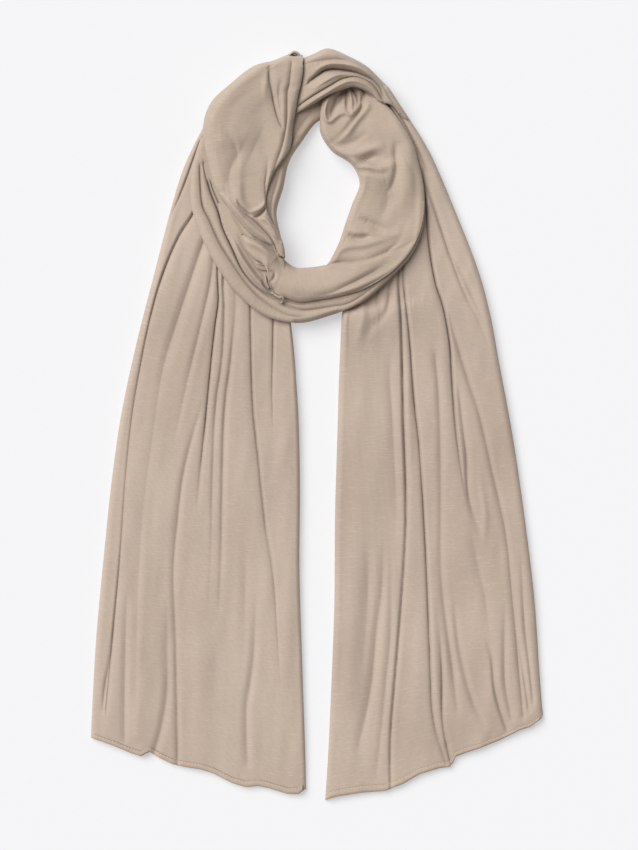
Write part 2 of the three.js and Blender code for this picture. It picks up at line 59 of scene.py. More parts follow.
scene = bpy.context.scene
scene.view_settings.view_transform = "Standard"


def put(name, data):
    """A new object in the scene, at the origin."""
    made = bpy.data.objects.new(name, data)
    scene.collection.objects.link(made)
    return made


def new_material(name):
    """A material that is made of nodes, and its main shader."""
    material = bpy.data.materials.new(name)
    material.use_nodes = True
    return material, material.node_tree.nodes["Principled BSDF"]


board = bpy.data.meshes.new("table_top")
board_half, board_top = 3.0, -0.0002
board_corners = [(-board_half, -board_half), (board_half, -board_half),
                 (board_half, board_half), (-board_half, board_half)]
board.from_pydata([(x, y, board_top) for x, y in board_corners], [], [(0, 1, 2, 3)])
board_object = put("table_top", board)
board_paint, board_shader = new_material("white_board")
board_shader.inputs["Base Color"].default_value = (0.43, 0.43, 0.437, 1)
board_shader.inputs["Emission Color"].default_value = (1.0, 1.0, 1.015, 1)
board_shader.inputs["Emission Strength"].default_value = 0.45
board_shader.inputs["Roughness"].default_value = 0.9
board.materials.append(board_paint)


def far_lamp(name, aim, spread, strength):
    """A large soft lamp so far away that its light is even all over the table: the way towards
    it, the angle that it fills in degrees, and its strength."""
    data = bpy.data.lights.new(name, "SUN")
    data.angle = math.radians(spread)
    data.energy = strength
    lamp = put(name, data)
    across, up = math.hypot(aim[0], aim[1]), aim[2]
    lamp.rotation_euler = (math.atan2(across, up), 0, math.atan2(aim[1], aim[0]) + math.pi / 2)


far_lamp("upper_left_lamp", (-0.66, 0.56, 1.0), 46, 3.36)
world = bpy.data.worlds.new("white_room")
world.use_nodes = True
world.node_tree.nodes["Background"].inputs["Color"].default_value = (1, 1, 1, 1)
world.node_tree.nodes["Background"].inputs["Strength"].default_value = 0.25
scene.world = world

camera = put("camera", bpy.data.cameras.new("camera"))
camera.data.sensor_fit = "VERTICAL"
camera.data.sensor_height = film_height
camera.data.lens = film_height * camera_height / (picture_height * mm)
camera.location = (*(picture_centre[:2] * mm), camera_height)
camera.data.clip_end = 10
scene.camera = camera


# The left tail, a stretch of jersey gathered into soft folds, which comes out from under the ring
# and lies down to its hem. It is one skin, turned under along both sides and shut by the table.
Section = namedtuple("Section", "left_x left_y right_x right_y crest")
Fold = namedtuple("Fold", "depth left right soft lip route")
edge_crowding = 0.4
steps_a_span = 5
# A fold's painted crease shade is full at full_crease deep, crease_width wide, and only where the fold is
# sharper than crease_softness.
full_crease, crease_width, crease_softness = 5.0, 1.6, 1.35
ridge_fall = 2.5
lip_place, lip_spread = 0.42, 0.3
cloth_thickness = 0.8
lens_height = camera_height / mm
lens_point = (picture_centre - centre_shift)[:2]
least_height = 1.9
bed_step = 2.0
bed_half = np.array([240.0, 380.0])
bed = np.zeros((int(2 * bed_half[1] / bed_step), int(2 * bed_half[0] / bed_step)))


def curve(points, count):
    """A smooth curve through points, as an array of count places spread evenly over its spans.
    Within a span it is the cubic whose slopes at the two points are half the step between the
    neighbours of each."""
    points = np.asarray(points, float)
    place = np.linspace(0, len(points) - 1, count)
    i = np.minimum(place.astype(int), len(points) - 2)
    f = (place - i)[:, None]
    ends = np.vstack([points[:1], points, points[-1:]])
    before, here, there, after = (ends[i + k] for k in range(4))
    slope, next_slope, rise = (there - before) / 2, (after - here) / 2, there - here
    return here + f * (slope + f * (3 * rise - 2 * slope - next_slope
                                    + f * (slope + next_slope - 2 * rise)))


def rumple(a, b, seed, patch=64):
    """Soft unevenness from -1 to 1 over the plane of a and b: random heights at whole numbers,
    with a smooth step between each and the next."""
    heights = np.random.default_rng(seed).uniform(-1, 1, (patch, patch))
    i, j = np.floor(a).astype(int), np.floor(b).astype(int)
    f, g = a - i, b - j
    f, g = f * f * (3 - 2 * f), g * g * (3 - 2 * g)
    near, far = [heights[k % patch, j % patch] * (1 - g) + heights[k % patch, (j + 1) % patch] * g
                 for k in (i, i + 1)]
    return near * (1 - f) + far * f


def folded(x, y, folds):
    """How folds shape a cloth at x, y. Each fold follows its route. Its depth, given at even
    steps along the route, falls off as 1 - sin(quarter turn * distance / reach) ** soft on a
    side, and folds that meet join as the cube root of the sum of their cubes. A negative depth
    is a rounded ridge, depth * exp(-ridge_fall * (distance / reach) ** 2), and they add up. A lip
    draws the cloth on the right over the fold, or on the left where it is negative. Left and
    right are those of a route that runs down the picture. Returns the sink, the rise, the
    sideways shift, and how far into a sharp crease each point is, as painted shade for its colour."""
    sink_cubed, rise, crease_shade = np.zeros_like(x), np.zeros_like(x), np.zeros_like(x)
    shift = np.zeros((2, *x.shape))
    for fold in folds:
        steps = steps_a_span * (len(fold.route) - 1)
        way = curve(fold.route, steps + 1)
        nearest = np.full(x.shape, np.inf)
        side, along = np.zeros_like(x), np.zeros_like(x)
        aim = np.zeros((2, *x.shape))
        for k in range(steps):
            (ax, ay), (dx, dy) = way[k], way[k + 1] - way[k]
            span = math.hypot(dx, dy)
            f = np.clip(((x - ax) * dx + (y - ay) * dy) / span**2, 0, 1)
            off_x, off_y = x - ax - f * dx, y - ay - f * dy
            distance = np.hypot(off_x, off_y)
            closer = distance < nearest
            nearest = np.where(closer, distance, nearest)
            side = np.where(closer, np.sign(dx * off_y - dy * off_x), side)
            along = np.where(closer, (k + f) / steps, along)
            aim = np.where(closer, np.array([-dy / span, dx / span])[:, None, None], aim)
        depths = np.atleast_1d(fold.depth).astype(float)
        depth = np.interp(along, np.linspace(0, 1, len(depths)), depths)
        reach = np.where(side < 0, fold.left, fold.right)
        part = nearest / reach
        groove = np.where(part < 1, 1 - np.sin(np.pi / 2 * np.minimum(part, 1)) ** fold.soft, 0)
        sink_cubed += np.where(depth > 0, depth * groove, 0) ** 3
        rise += np.where(depth < 0, -depth * np.exp(-ridge_fall * part**2), 0)
        # Painted shade: a thin dark line along each sharp fold, which is put into the cloth's colour.
        sharp = np.clip(depth / full_crease, 0, 1) * np.clip(crease_softness - fold.soft, 0, 1)
        crease_shade = np.maximum(crease_shade, sharp * np.exp(-(nearest / crease_width) ** 2))
        if fold.lip:
            lipped = (side > 0) == (fold.lip > 0)
            pull = fold.lip * np.clip(depth / (np.abs(depths).max() + 1e-9), 0, 1)
            pull = pull * np.exp(-((part - lip_place) / lip_spread) ** 2) * lipped
            shift -= pull * aim
    return np.cbrt(sink_cubed), rise, shift, crease_shade


def bed_under(x, y):
    """The height of what already lies at x, y: the bed, widened by one cell all round, between
    the four cells nearest to the place."""
    wide = bed.copy()
    for rows, columns in ((1, 0), (-1, 0), (0, 1), (0, -1)):
        wide = np.maximum(wide, np.roll(bed, (rows, columns), (0, 1)))
    across = np.clip((x + bed_half[0]) / bed_step - 0.5, 0, bed.shape[1] - 2)
    up = np.clip((y + bed_half[1]) / bed_step - 0.5, 0, bed.shape[0] - 2)
    i, j = up.astype(int), across.astype(int)
    f, g = up - i, across - j
    low = wide[i, j] * (1 - g) + wide[i, j + 1] * g
    high = wide[i + 1, j] * (1 - g) + wide[i + 1, j + 1] * g
    return low * (1 - f) + high * f


def lay_down(points):
    """Raises the bed to a grid of points that now lies on it."""
    for f in (0, 0.25, 0.5, 0.75):
        x, y, z = (points[:-1] * (1 - f) + points[1:] * f)[..., :3].reshape(-1, 3).T
        rows = ((y + bed_half[1]) / bed_step).astype(int)
        columns = ((x + bed_half[0]) / bed_step).astype(int)
        np.maximum.at(bed, (rows, columns), z)


def quarter_round(part):
    """How far a quarter of a circle has turned down, from 1 where part is 0 to 0 from 1 on."""
    return 1 - np.sqrt(1 - (1 - np.clip(part, 0, 1)) ** 2)


def cloth_face(sections, folds, columns, rows, rim, swell, seed, hem=None, ends=(0, 0)):
    """The upper face of a stretch of cloth, as a grid of x, y, z and painted crease shade. Rows run from its
    left edge to its right one between smooth curves through the sections. It stands at the
    crest, less its folds, with a slight rumple, 17 by 70 mm and half that size, and rounds down
    along both edges as a quarter of an ellipse that is rim wide, and at its two ends over the
    lengths that ends gives. A hem draws the last two spans down by its drop at each x. Sections
    and routes are places in the picture, where a higher point looks further out, so each point
    is drawn in towards the lens by its crest over the lens's height, and at the edges by half of
    that. Between its ends it stays least_height or more above what it lies on."""
    line = curve(sections, rows)[:, None, :]
    t = np.linspace(0, 1, columns)[None, :]
    u = t - edge_crowding * np.sin(2 * np.pi * t) / (2 * np.pi)
    x = line[..., 0] * (1 - u) + line[..., 2] * u
    y = line[..., 1] * (1 - u) + line[..., 3] * u
    crest = line[..., 4]
    width = np.hypot(line[..., 2] - line[..., 0], line[..., 3] - line[..., 1])
    if hem is not None:
        s = np.linspace(0, 1, rows)[:, None] * (len(sections) - 1) - (len(sections) - 3)
        weight = np.clip(s / 2, 0, 1)
        weight = weight * weight * (3 - 2 * weight)
        y = y - weight * np.interp(x, *hem)
    middle = line[:, 0, 0:2] / 2 + line[:, 0, 2:4] / 2
    length = np.concatenate([[0], np.cumsum(np.hypot(*np.diff(middle, axis=0).T))])[:, None]
    sink, rise, shift, crease_shade = folded(x, y, folds)
    uneven = (rumple(u * width / 17, length / 70, seed)
              + 0.4 * rumple(u * width / 8, length / 31, seed + 1))
    edge = np.minimum(u, 1 - u) * width
    left_rim, right_rim = np.broadcast_to(rim, 2)
    turned = quarter_round(u * width / left_rim) + quarter_round((1 - u) * width / right_rim)
    drawn_in = crest * (1 - 0.5 * np.minimum(turned, 1)) / lens_height
    x = x - (x - lens_point[0]) * drawn_in
    y = y - (y - lens_point[1]) * drawn_in
    low = bed_under(x, y)
    shoulder = low + 0.5 * (crest - low)
    top = crest + swell * uneven - sink + rise
    z = np.where(turned > 0, shoulder + (top - shoulder) * (1 - turned), top)
    floor = low + least_height
    for gone, reach in ((length, ends[0]), (length[-1] - length, ends[1])):
        if reach:
            z = floor + (z - floor) * (1 - quarter_round(gone / reach))
            floor = floor - (least_height - 0.4) * np.clip(1 - gone / reach, 0, 1)
    z = floor + np.logaddexp(0, 3 * (z - floor)) / 3
    inside = np.clip(edge / 2, 0, 1)
    return np.stack([x + shift[0] * inside, y + shift[1] * inside, z, crease_shade], axis=2)


def closed_skin(face, layers, under_columns):
    """A face carried down both sides and back beneath, as a grid whose last column meets its
    first. Each side is pinched in between the layers that it is made of, by pinch * (1 -
    |sin(half turn * layer)| ** 0.5), and the underside lies just above the bed."""
    # The pinches in each side are also darkened in colour with painted shade, in step with their depth.
    pinch, pinch_shade, lift, stack = 0.9, 0.3, 0.35, 4 * layers
    left, right = face[:, :1], face[:, -1:]
    out = right[..., :2] - left[..., :2]
    out = out / np.linalg.norm(out, axis=2, keepdims=True)

    def side(edge, away):
        down = np.linspace(0, 1, stack + 1)[None, 1:]
        low = bed_under(edge[..., 0], edge[..., 1]) + lift
        z = edge[..., 2] + (low - edge[..., 2]) * down
        inward = pinch * (1 - np.abs(np.sin(np.pi * (1 - down) * (layers - 0.5))) ** 0.5)
        place = edge[..., :2] - away * inward[..., None]
        return np.dstack([place, z, pinch_shade * inward + np.zeros_like(z)])

    right_side = side(right, out)
    left_side = side(left, -out)[:, ::-1]
    f = np.linspace(0, 1, under_columns + 2)[None, 1:-1, None]
    beneath = right_side[:, -1:] * (1 - f) + left_side[:, :1] * f
    rest = bed_under(beneath[..., 0], beneath[..., 1]) + lift
    beneath[..., 2] = np.maximum(beneath[..., 2], rest)
    return np.concatenate([face, right_side, beneath, left_side], axis=1)


def grid_object(name, points, material, around=False):
    """A mesh on a grid of points in millimetres, which closes round each row if around is set,
    with the distances across and along the cloth as its UV map. Its faces point outwards."""
    crease_shade = points[..., 3]
    points = points[..., :3] + centre_shift
    rows, columns = points.shape[:2]
    i, j = np.meshgrid(np.arange(rows - 1), np.arange(columns if around else columns - 1),
                       indexing="ij")
    a, b = i * columns + j, i * columns + (j + 1) % columns
    quads = np.stack([a, a + columns, b + columns, b], axis=2).reshape(-1, 4)
    steps = np.linalg.norm(np.diff(points, axis=1), axis=2)
    across = np.concatenate([np.zeros((rows, 1)), np.cumsum(steps, axis=1)], axis=1)
    walk = np.linalg.norm(np.diff(points.mean(axis=1), axis=0), axis=1)
    along = np.concatenate([[0], np.cumsum(walk)])[:, None] + np.zeros((1, columns))
    places = np.stack([across, along], axis=2).reshape(-1, 2) * mm
    middle = columns // 3
    tilt = np.cross(points[1:, middle] - points[:-1, middle],
                    points[:-1, middle + 1] - points[:-1, middle])[:, 2].sum()
    if tilt < 0:
        quads = quads[:, ::-1]
    mesh = bpy.data.meshes.new(name)
    mesh.vertices.add(rows * columns)
    mesh.vertices.foreach_set("co", (points * mm).ravel())
    mesh.loops.add(quads.size)
    mesh.loops.foreach_set("vertex_index", quads.ravel())
    mesh.polygons.add(len(quads))
    mesh.polygons.foreach_set("loop_start", np.arange(len(quads)) * 4)
    mesh.update(calc_edges=True)
    mesh.polygons.foreach_set("use_smooth", np.ones(len(quads), bool))
    corner = places[quads]
    if around:
        girth = across[:, -1].mean() * mm
        wrapped = (quads % columns == 0) & ((quads % columns).max(axis=1) == columns - 1)[:, None]
        corner[..., 0] += wrapped * girth
    uv = mesh.uv_layers.new(name="cloth")
    uv.data.foreach_set("uv", corner.ravel())
    # The fourth value of each point is painted shade along creases, which the material reads as an
    # attribute.
    mesh.attributes.new("crease_shade", "FLOAT", "POINT").data.foreach_set("value", crease_shade.ravel())
    mesh.materials.append(material)
    piece = put(name, mesh)
    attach(piece, "root")
    return piece


def give_thickness(piece, thickness):
    """Thickens a skin inwards, to the real thickness of the cloth."""
    wall = piece.modifiers.new("cloth_thickness", "SOLIDIFY")
    wall.thickness = thickness * mm
    wall.offset = -1
    wall.use_even_offset = False


def closed_cloth(name, face, layers, cloth, under_columns=14, thickness=cloth_thickness):
    """A whole stretch of cloth: the mesh of its closed skin, made as thick as the cloth."""
    piece = grid_object(name, closed_skin(face, layers, under_columns), cloth, around=True)
    give_thickness(piece, thickness)
    return piece


class Value:
    """A number that changes over a surface: one output of a node tree. Sums and products of
    values are written with the usual signs."""

    def __init__(self, tree, socket):
        self.tree = tree
        self.socket = socket

    def node(self, kind, settings, inputs, output=0):
        """Adds any other node: its settings first, then its inputs by name or number."""
        made = self.tree.nodes.new(kind)
        for key, setting in settings.items():
            setattr(made, key, setting)
        for key, given in inputs.items():
            if isinstance(given, Value):
                self.tree.links.new(given.socket, made.inputs[key])
            else:
                made.inputs[key].default_value = given
        return Value(self.tree, made.outputs[output])

    def math(self, operation, *given):
        return self.node("ShaderNodeMath", {"operation": operation}, dict(enumerate(given)))

    def __add__(self, other):
        return self.math("ADD", self, other)

    def __mul__(self, other):
        return self.math("MULTIPLY", self, other)

    def __sub__(self, other):
        return self.math("SUBTRACT", self, other)

    def __rsub__(self, other):
        return self.math("SUBTRACT", other, self)

    __radd__, __rmul__ = __add__, __mul__


def jersey(name, light, shade):
    """Jersey of slub yarn: plain knit ribs about a millimetre apart, short thick stretches of
    yarn that lie across the cloth as thin lines, and a slightly uneven dye, with painted shade
    that darkens it along sharp creases. The ribs are a sine of the distance across, and the rows
    of loops one of the distance along."""
    rib_pitch, loop_pitch = 0.0011, 0.0009
    material, shader = new_material(name)
    tree = material.node_tree
    start = Value(tree, None)
    place = start.node("ShaderNodeUVMap", {"uv_map": "cloth"}, {})
    body_place = start.node("ShaderNodeTexCoord", {}, {}, "Object")

    def noise(vector, scale, stretch, detail):
        moved = start.node("ShaderNodeMapping", {}, {"Vector": vector, "Scale": stretch})
        return start.node("ShaderNodeTexNoise", {}, {"Vector": moved, "Scale": scale, "Detail": detail})

    def band(value, low, high):
        return start.node("ShaderNodeMapRange", {"interpolation_type": "SMOOTHSTEP"}, {
            "Value": value, "From Min": low, "From Max": high})

    def mix(factor, first, second):
        return start.node("ShaderNodeMix", {"data_type": "RGBA"}, {0: factor, 6: first, 7: second}, 2)

    slub = band(noise(place, 1.0, (75.0, 900.0, 1.0), 3.0), 0.53, 0.72)
    fine_slub = band(noise(place, 1.0, (160.0, 1900.0, 1.0), 2.0), 0.5, 0.75)
    dye = noise(body_place, 9.0, (1.0, 1.0, 1.0), 3.0)
    heather = noise(place, 1.0, (900.0, 1500.0, 1.0), 2.0)
    tone = band(dye * 0.6 + heather * 0.26 + fine_slub * 0.17 - slub * 0.24 + 0.06, 0.25, 0.74)
    yarn = mix(tone, (*light, 1), (*shade, 1))
    # Painted shade: along creases and pinched sides the colour is drawn, by up to 0.6, towards 0.42 times
    # the darker yarn colour.
    crease_shade = start.node("ShaderNodeAttribute", {"attribute_name": "crease_shade"}, {}, "Fac")
    crease_shade_colour = [0.42 * part for part in shade]
    colour = mix(crease_shade * 0.6, yarn, (*crease_shade_colour, 1))
    tree.links.new(colour.socket, shader.inputs["Base Color"])
    across = start.node("ShaderNodeSeparateXYZ", {}, {"Vector": place})
    along = Value(tree, across.socket.node.outputs[1])
    ribs = start.math("SINE", across * (2 * math.pi / rib_pitch))
    loops = start.math("SINE", along * (2 * math.pi / loop_pitch))
    relief = ribs * 0.5 + loops * 0.25 + slub * 0.9 + fine_slub * 0.4 + heather * 0.8
    bump = start.node("ShaderNodeBump", {}, {"Strength": 0.35, "Distance": 0.00022, "Height": relief})
    tree.links.new(bump.socket, shader.inputs["Normal"])
    rough = 0.82 + slub * 0.1
    tree.links.new(rough.socket, shader.inputs["Roughness"])
    shader.inputs["Sheen Weight"].default_value = 0.22
    shader.inputs["Sheen Roughness"].default_value = 0.55
    shader.inputs["Specular IOR Level"].default_value = 0.25
    return material


tail_cloth = jersey("tail_jersey", (0.555, 0.447, 0.365), (0.455, 0.354, 0.284))

left_tail_sections = [
    Section(-105.5, 274, -31, 156, 9.5),
    Section(-122.5, 238.7, -28.5, 128, 10),
    Section(-134.3, 202, -25.3, 98, 10.5),
    Section(-151, 137.5, -22, 68, 10.5),
    Section(-166.5, 77, -20, 41, 10),
    Section(-180.5, 12, -17.6, 0, 9.5),
    Section(-189.5, -49, -16.6, -60, 9),
    Section(-197, -120, -17, -135, 8.5),
    Section(-204, -195, -14.5, -220, 8),
    Section(-207.5, -255, -12, -292, 6.5),
    Section(-209, -288, -11, -335, 5.2),
]
left_tail_folds = [
    Fold((2.8, 3.3, 0.9), 2.5, 4, 0.6, 1, [(-108, 262), (-114, 246), (-121, 226), (-129, 206), (-137, 190)]),
    Fold((3.7, 4.1, 4.1, 3.7, 2.8, 2, 1.5, 1.1, 1.3, 2.8, 1.5), 2.5, 9, 0.5, 1.2,
         [(-110, 206), (-116, 192), (-127, 175), (-138, 151), (-148, 122), (-156.5, 88), (-164, 50),
          (-171, 8), (-177, -50), (-182, -121), (-189, -197), (-195, -262)]),
    Fold((1.9, 3.3, 2.3, 1.3, 0.8, 0.5, 0.9, 0), 7, 10, 0.9, 0,
         [(-100, 178), (-106, 166), (-118, 130), (-131, 90), (-143, 50), (-152, -10), (-162, -90),
          (-167, -190), (-168, -290)]),
    Fold((1.9, 2.4, 1.5, 0.5), 6, 6, 0.8, 0, [(-96, 160), (-99, 130), (-108, 90), (-120, 40), (-131, -10)]),
    Fold((4.2, 4.7, 5.1, 4.7, 2.8, 0), 5, 4, 0.55, -1.6,
         [(-90, 172), (-93, 145), (-92, 115), (-95, 92), (-99, 55), (-104, 0), (-108, -40), (-111, -76)]),
    Fold((2.8, 3.4, 2.8, 2.4, 1.5, 0.8, 0), 4, 5, 0.6, 0.8,
         [(-84, 152), (-87, 130), (-86, 105), (-88, 60), (-94, 15), (-97, -50), (-98, -110), (-101, -170)]),
    Fold((0.5, 2.3, 2.7, 2, 1.3, 0), 4, 6, 0.7, 0,
         [(-76, 112), (-80, 60), (-86, 10), (-88, -60), (-89, -120), (-92, -180)]),
    Fold((1.1, 1.3, 0), 8, 6, 1, 0, [(-76, 130), (-76, 95), (-78, 50)]),
    Fold((3.7, 3.7, 3.7, 3.4, 2.8, 2.3, 1.1, 0), 8, 3, 0.5, -1.2,
         [(-62, 118), (-62, 90), (-60, 20), (-55, -30), (-48, -95), (-41, -138), (-37, -195), (-34, -245)]),
    Fold((3.4, 3.2, 1.9, 0), 5, 3.5, 0.5, -0.8, [(-41, 110), (-41.5, 70), (-42, 30), (-41, -5)]),
    Fold((0, 1.9, 2.8, 2.3, 1.9, 1.9, 2.4, 3.2, 2.3), 7, 6, 0.65, 0.8,
         [(-104, 25), (-114, -6), (-124, -48), (-129, -90), (-133, -135), (-131, -190), (-130, -235),
          (-129, -290), (-129, -312)]),
    Fold((0, 1.1, 1.9, 2.3, 2.4), 7, 8, 0.9, 0,
         [(-139, -150), (-139, -200), (-139, -245), (-144, -278), (-152, -306)]),
    Fold((0, 1.7, 2.4, 1.9, 1.3), 7, 7, 0.9, 0,
         [(-57, -160), (-59, -210), (-63, -243), (-66, -262), (-65, -312)]),
    Fold((0, 1.1, 0.5, 0), 9, 9, 1.1, 0, [(-67, -110), (-67, -150), (-68, -190), (-73, -250)]),
    Fold((0, -0.9, -1.1, -0.8), 9, 9, 1, 0, [(-158, -60), (-161, -130), (-165, -220), (-166, -285)]),
    Fold((0, 1.3, 1.5, 1.1), 6, 6, 1, 0, [(-176, -150), (-177, -200), (-178, -250), (-178, -290)]),
    Fold((0, 1.5, 2.4, 0.9), 4, 5, 0.7, 0, [(-189, -195), (-192, -220), (-196, -242), (-198, -262)]),
    Fold((0, -0.9, -1, -0.4), 12, 12, 1, 0, [(-30, 60), (-29, -20), (-27, -120), (-26, -250)]),
    Fold((0, -0.8, -0.9, -0.5), 14, 14, 1, 0, [(-112, -110), (-112, -170), (-108, -240), (-104, -300)]),
]
left_hem_drop = np.array([
    (-209, 0), (-188, 2.5), (-172, 5.5), (-163, 6.3), (-155, 0.4), (-146, 3.7),
    (-134, 6.6), (-122, 6.4), (-108, 5.2), (-97, 6.1), (-88, 8.5), (-79, 10.9),
    (-67, 11.8), (-55, 8), (-46, 7.7), (-28, 8.9), (-18, 6.7), (-11, 0),
]).T

left_tail_face = cloth_face(left_tail_sections, left_tail_folds, 240, 140, rim=(6, 4),
                            swell=0.8, seed=3, hem=left_hem_drop)
left_tail = closed_cloth("left_tail_cloth", left_tail_face, 3, tail_cloth)
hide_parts("left_tail", "left_tail_under")


# The right tail, the other end of the same cloth, from behind the neck down the outside of the
# ring and on to its hem, with the sharpest folds where the ring presses on it.
right_tail_sections = [
    Section(50, 297, 65, 309, 9),
    Section(62, 270, 83, 283, 10.5),
    Section(64, 240, 104, 248, 11),
    Section(54, 202, 126, 197, 10.6),
    Section(38, 154, 147, 143, 10.7),
    Section(24, 116, 158.5, 101, 10.5),
    Section(20, 60, 167, 55, 10),
    Section(17.8, -10, 179, -10, 9.5),
    Section(15.6, -85, 190, -85, 9),
    Section(15, -165, 199, -160, 8.5),
    Section(12, -245, 203.5, -225, 7.5),
    Section(9.5, -300, 205.5, -250, 6.2),
    Section(6.5, -345.5, 207, -266, 5.2),
]
right_tail_folds = [
    Fold((2.2, 2.9, 2.6, 1.6, 0), 5, 6, 0.9, 0, [(66, 130), (65, 110), (58, 98), (49.5, 90.7), (44, 80)]),
    Fold((1.3, 1.9, 0.6), 5, 5, 1.1, 0, [(53, 127), (55, 113), (60, 105)]),
    Fold((-0.8, -1.6, -1.6, 0), 6, 6, 1, 0, [(36, 118), (42, 104), (40, 90), (36, 74)]),
    Fold((-6, -6, -3), 42, 10, 1, 0, [(20, 101), (44, 101), (64, 106)]),
    Fold((1.6, 1.3, 0), 9, 9, 1.1, 0, [(30, 112), (28, 92), (29, 66)]),
    Fold((0, 1.1, 1.7, 1.4, 0.6, 0), 8, 7, 1, 0,
         [(67, 68), (66, 45), (68, 15), (71, -45), (72, -85), (69, -115)]),
    Fold((2.8, 4.8, 5.1, 5.6, 4.7, 4, 3.4, 3.4, 2.9, 2.2), 3.5, 5, 0.5, 1,
         [(73, 150), (75, 120), (77, 90), (78, 50), (79, 0), (81, -55), (81, -100), (77, -165), (71, -238),
          (67, -290), (67, -335)]),
    Fold((2.8, 4, 4.5, 4, 3.8, 4, 3.8, 2.9, 1.8), 5, 4, 0.55, -1.2,
         [(77, 150), (80, 118), (84, 80), (88, 25), (93, -20), (97, -80), (100, -140), (103, -215),
          (106, -270), (118, -312)]),
    Fold((0, -1.4, -1, -0.4), 5, 5, 1, 0, [(82, 70), (82.5, 40), (84, 0), (88, -60)]),
    Fold((0, -1.1, -1.4, -1), 6, 6, 1, 0, [(104, -120), (107, -190), (110, -245), (117, -290)]),
    Fold((0, 1.8, 2.5, 2.7, 1.8, 0.5), 8, 7, 0.9, 0,
         [(60, -110), (59, -150), (54, -190), (50, -235), (44, -268), (36, -300)]),
    Fold((0, 1.2, 0.6, 0), 9, 9, 1.1, 0, [(47, -110), (46, -150), (44, -190), (40, -230)]),
    Fold((0, 1.4, 1.6, 1.1, 0.5), 6, 6, 1, 0, [(67, -120), (67, -190), (63, -235), (58, -285), (54, -320)]),
    Fold((1.8, 2, 1.6, 1.6, 2.2, 2.5, 1.1), 6, 7, 0.8, 0,
         [(108, 62), (111, 30), (113, -40), (113, -130), (118, -182), (124, -225), (128, -262)]),
    Fold((0, 2.5, 2.9, 2.9, 3.7), 5, 6, 0.6, -1,
         [(112, -190), (114, -228), (114, -262), (116, -284), (122, -312)]),
    Fold((0, 1.8, 2.2, 2, 0.9), 6, 6, 0.9, 0,
         [(125, -160), (129, -200), (136, -233), (143, -256), (153, -277)]),
    Fold((2.2, 4.5, 5.6, 6.2, 6.2, 5.6, 5, 4, 2.2, 0), 6, 4, 0.5, -1.4,
         [(96, 235), (99, 200), (102, 165), (108, 130), (115, 108), (121, 75), (123, 45), (126, 5),
          (131, -35), (139, -82)]),
    Fold((0, 2.7, 2.9, 2.2, 2.2, 2, 2.2, 2.7, 1.8), 6, 5, 0.7, 0,
         [(119, 104), (128, 75), (137, 45), (149, 8), (161, -45), (173, -100), (180, -170), (186, -235),
          (189, -268)]),
    Fold((0, 1.6, 1.1, 0), 4, 4, 0.9, 0, [(131, 72), (134, 60), (140, 38), (148, 18)]),
    Fold((1.6, 2.5, 3.8, 3.4, 1.6, 0), 6, 7, 0.7, 0.8,
         [(130, 28), (134, -6), (137, -32), (138, -62), (144, -86), (153, -112)]),
    Fold((0, -1.3, -1.4, -0.6), 5, 5, 1, 0, [(148, -45), (152, -68), (154, -85), (152, -108)]),
    Fold((0, 1.4, 1.2, 0), 8, 8, 1, 0, [(141, -98), (147, -130), (154, -160), (158, -195)]),
    Fold((0, 2.2, 2.9, 2.7, 1.8), 4, 7, 0.7, 0,
         [(154, -200), (160, -217), (162, -240), (166, -258), (174, -282)]),
    Fold((0, 1.6, 1.8, 0.9), 5, 6, 0.9, 0, [(172, -165), (171.5, -205), (172.5, -240), (178, -270)]),
    Fold((0, 1.6, 1.8, 1.1), 5, 5, 0.9, 0, [(179, -120), (183, -190), (190, -235), (194, -262)]),
    Fold((0, 1.6, 1.6, 0.9), 4, 4, 0.9, 0, [(187, -120), (190, -180), (195, -225), (198, -256)]),
    Fold((1.6, 2.9, 2.7, 2, 0.9, 0), 4, 6, 0.7, 0.6,
         [(97, 222), (105, 205), (113, 182), (122, 155), (135, 121), (148, 95), (159, 66)]),
    Fold((0, 2, 1.8, 0), 5, 5, 0.8, 0, [(117, 163), (128, 145), (136, 131), (144, 114), (152, 96)]),
    Fold((2.2, 2.7, 2.2, 1.1), 3, 3, 0.7, 0.6, [(62, 304), (72, 291), (82, 273), (92, 252), (100, 235)]),
    Fold((1.8, 2.2, 1.6), 3, 3, 0.7, 0, [(58, 303), (67, 290), (77, 272), (86, 252)]),
    Fold((0, -1, -1.3, -0.6), 15, 15, 1, 0, [(38, 90), (36, 0), (34, -120), (28, -250)]),
]
right_hem_drop = np.array([
    (6.5, 0), (16, 0.8), (39, 6.2), (62, 13.5), (78, 13.6), (94, 10.6), (112, 12.4),
    (120.5, 14.8), (124, 12.6), (126.5, 7.8), (138, 7.9), (149, 8.6), (167, 8.6),
    (186, 6.7), (195, 7.5), (206, 3.6), (207, 0),
]).T

right_tail_face = cloth_face(right_tail_sections, right_tail_folds, 240, 150, rim=6,
                             swell=0.8, seed=9, hem=right_hem_drop)
right_tail = closed_cloth("right_tail_cloth", right_tail_face, 3, tail_cloth)
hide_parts("right_tail", "right_tail_under")
lay_down(left_tail_face)
lay_down(right_tail_face)


# The cloth behind the neck. It is the lowest stretch of the ring, seen through the opening at its
# upper left and as a narrow strip along its left side, and it goes on into the left tail.
# The ring is the same jersey as the tails, painted a little darker as painted shade for the whole ring.
shaded_ring_cloth = jersey("ring_jersey_shaded", (0.535, 0.428, 0.341), (0.430, 0.334, 0.261))

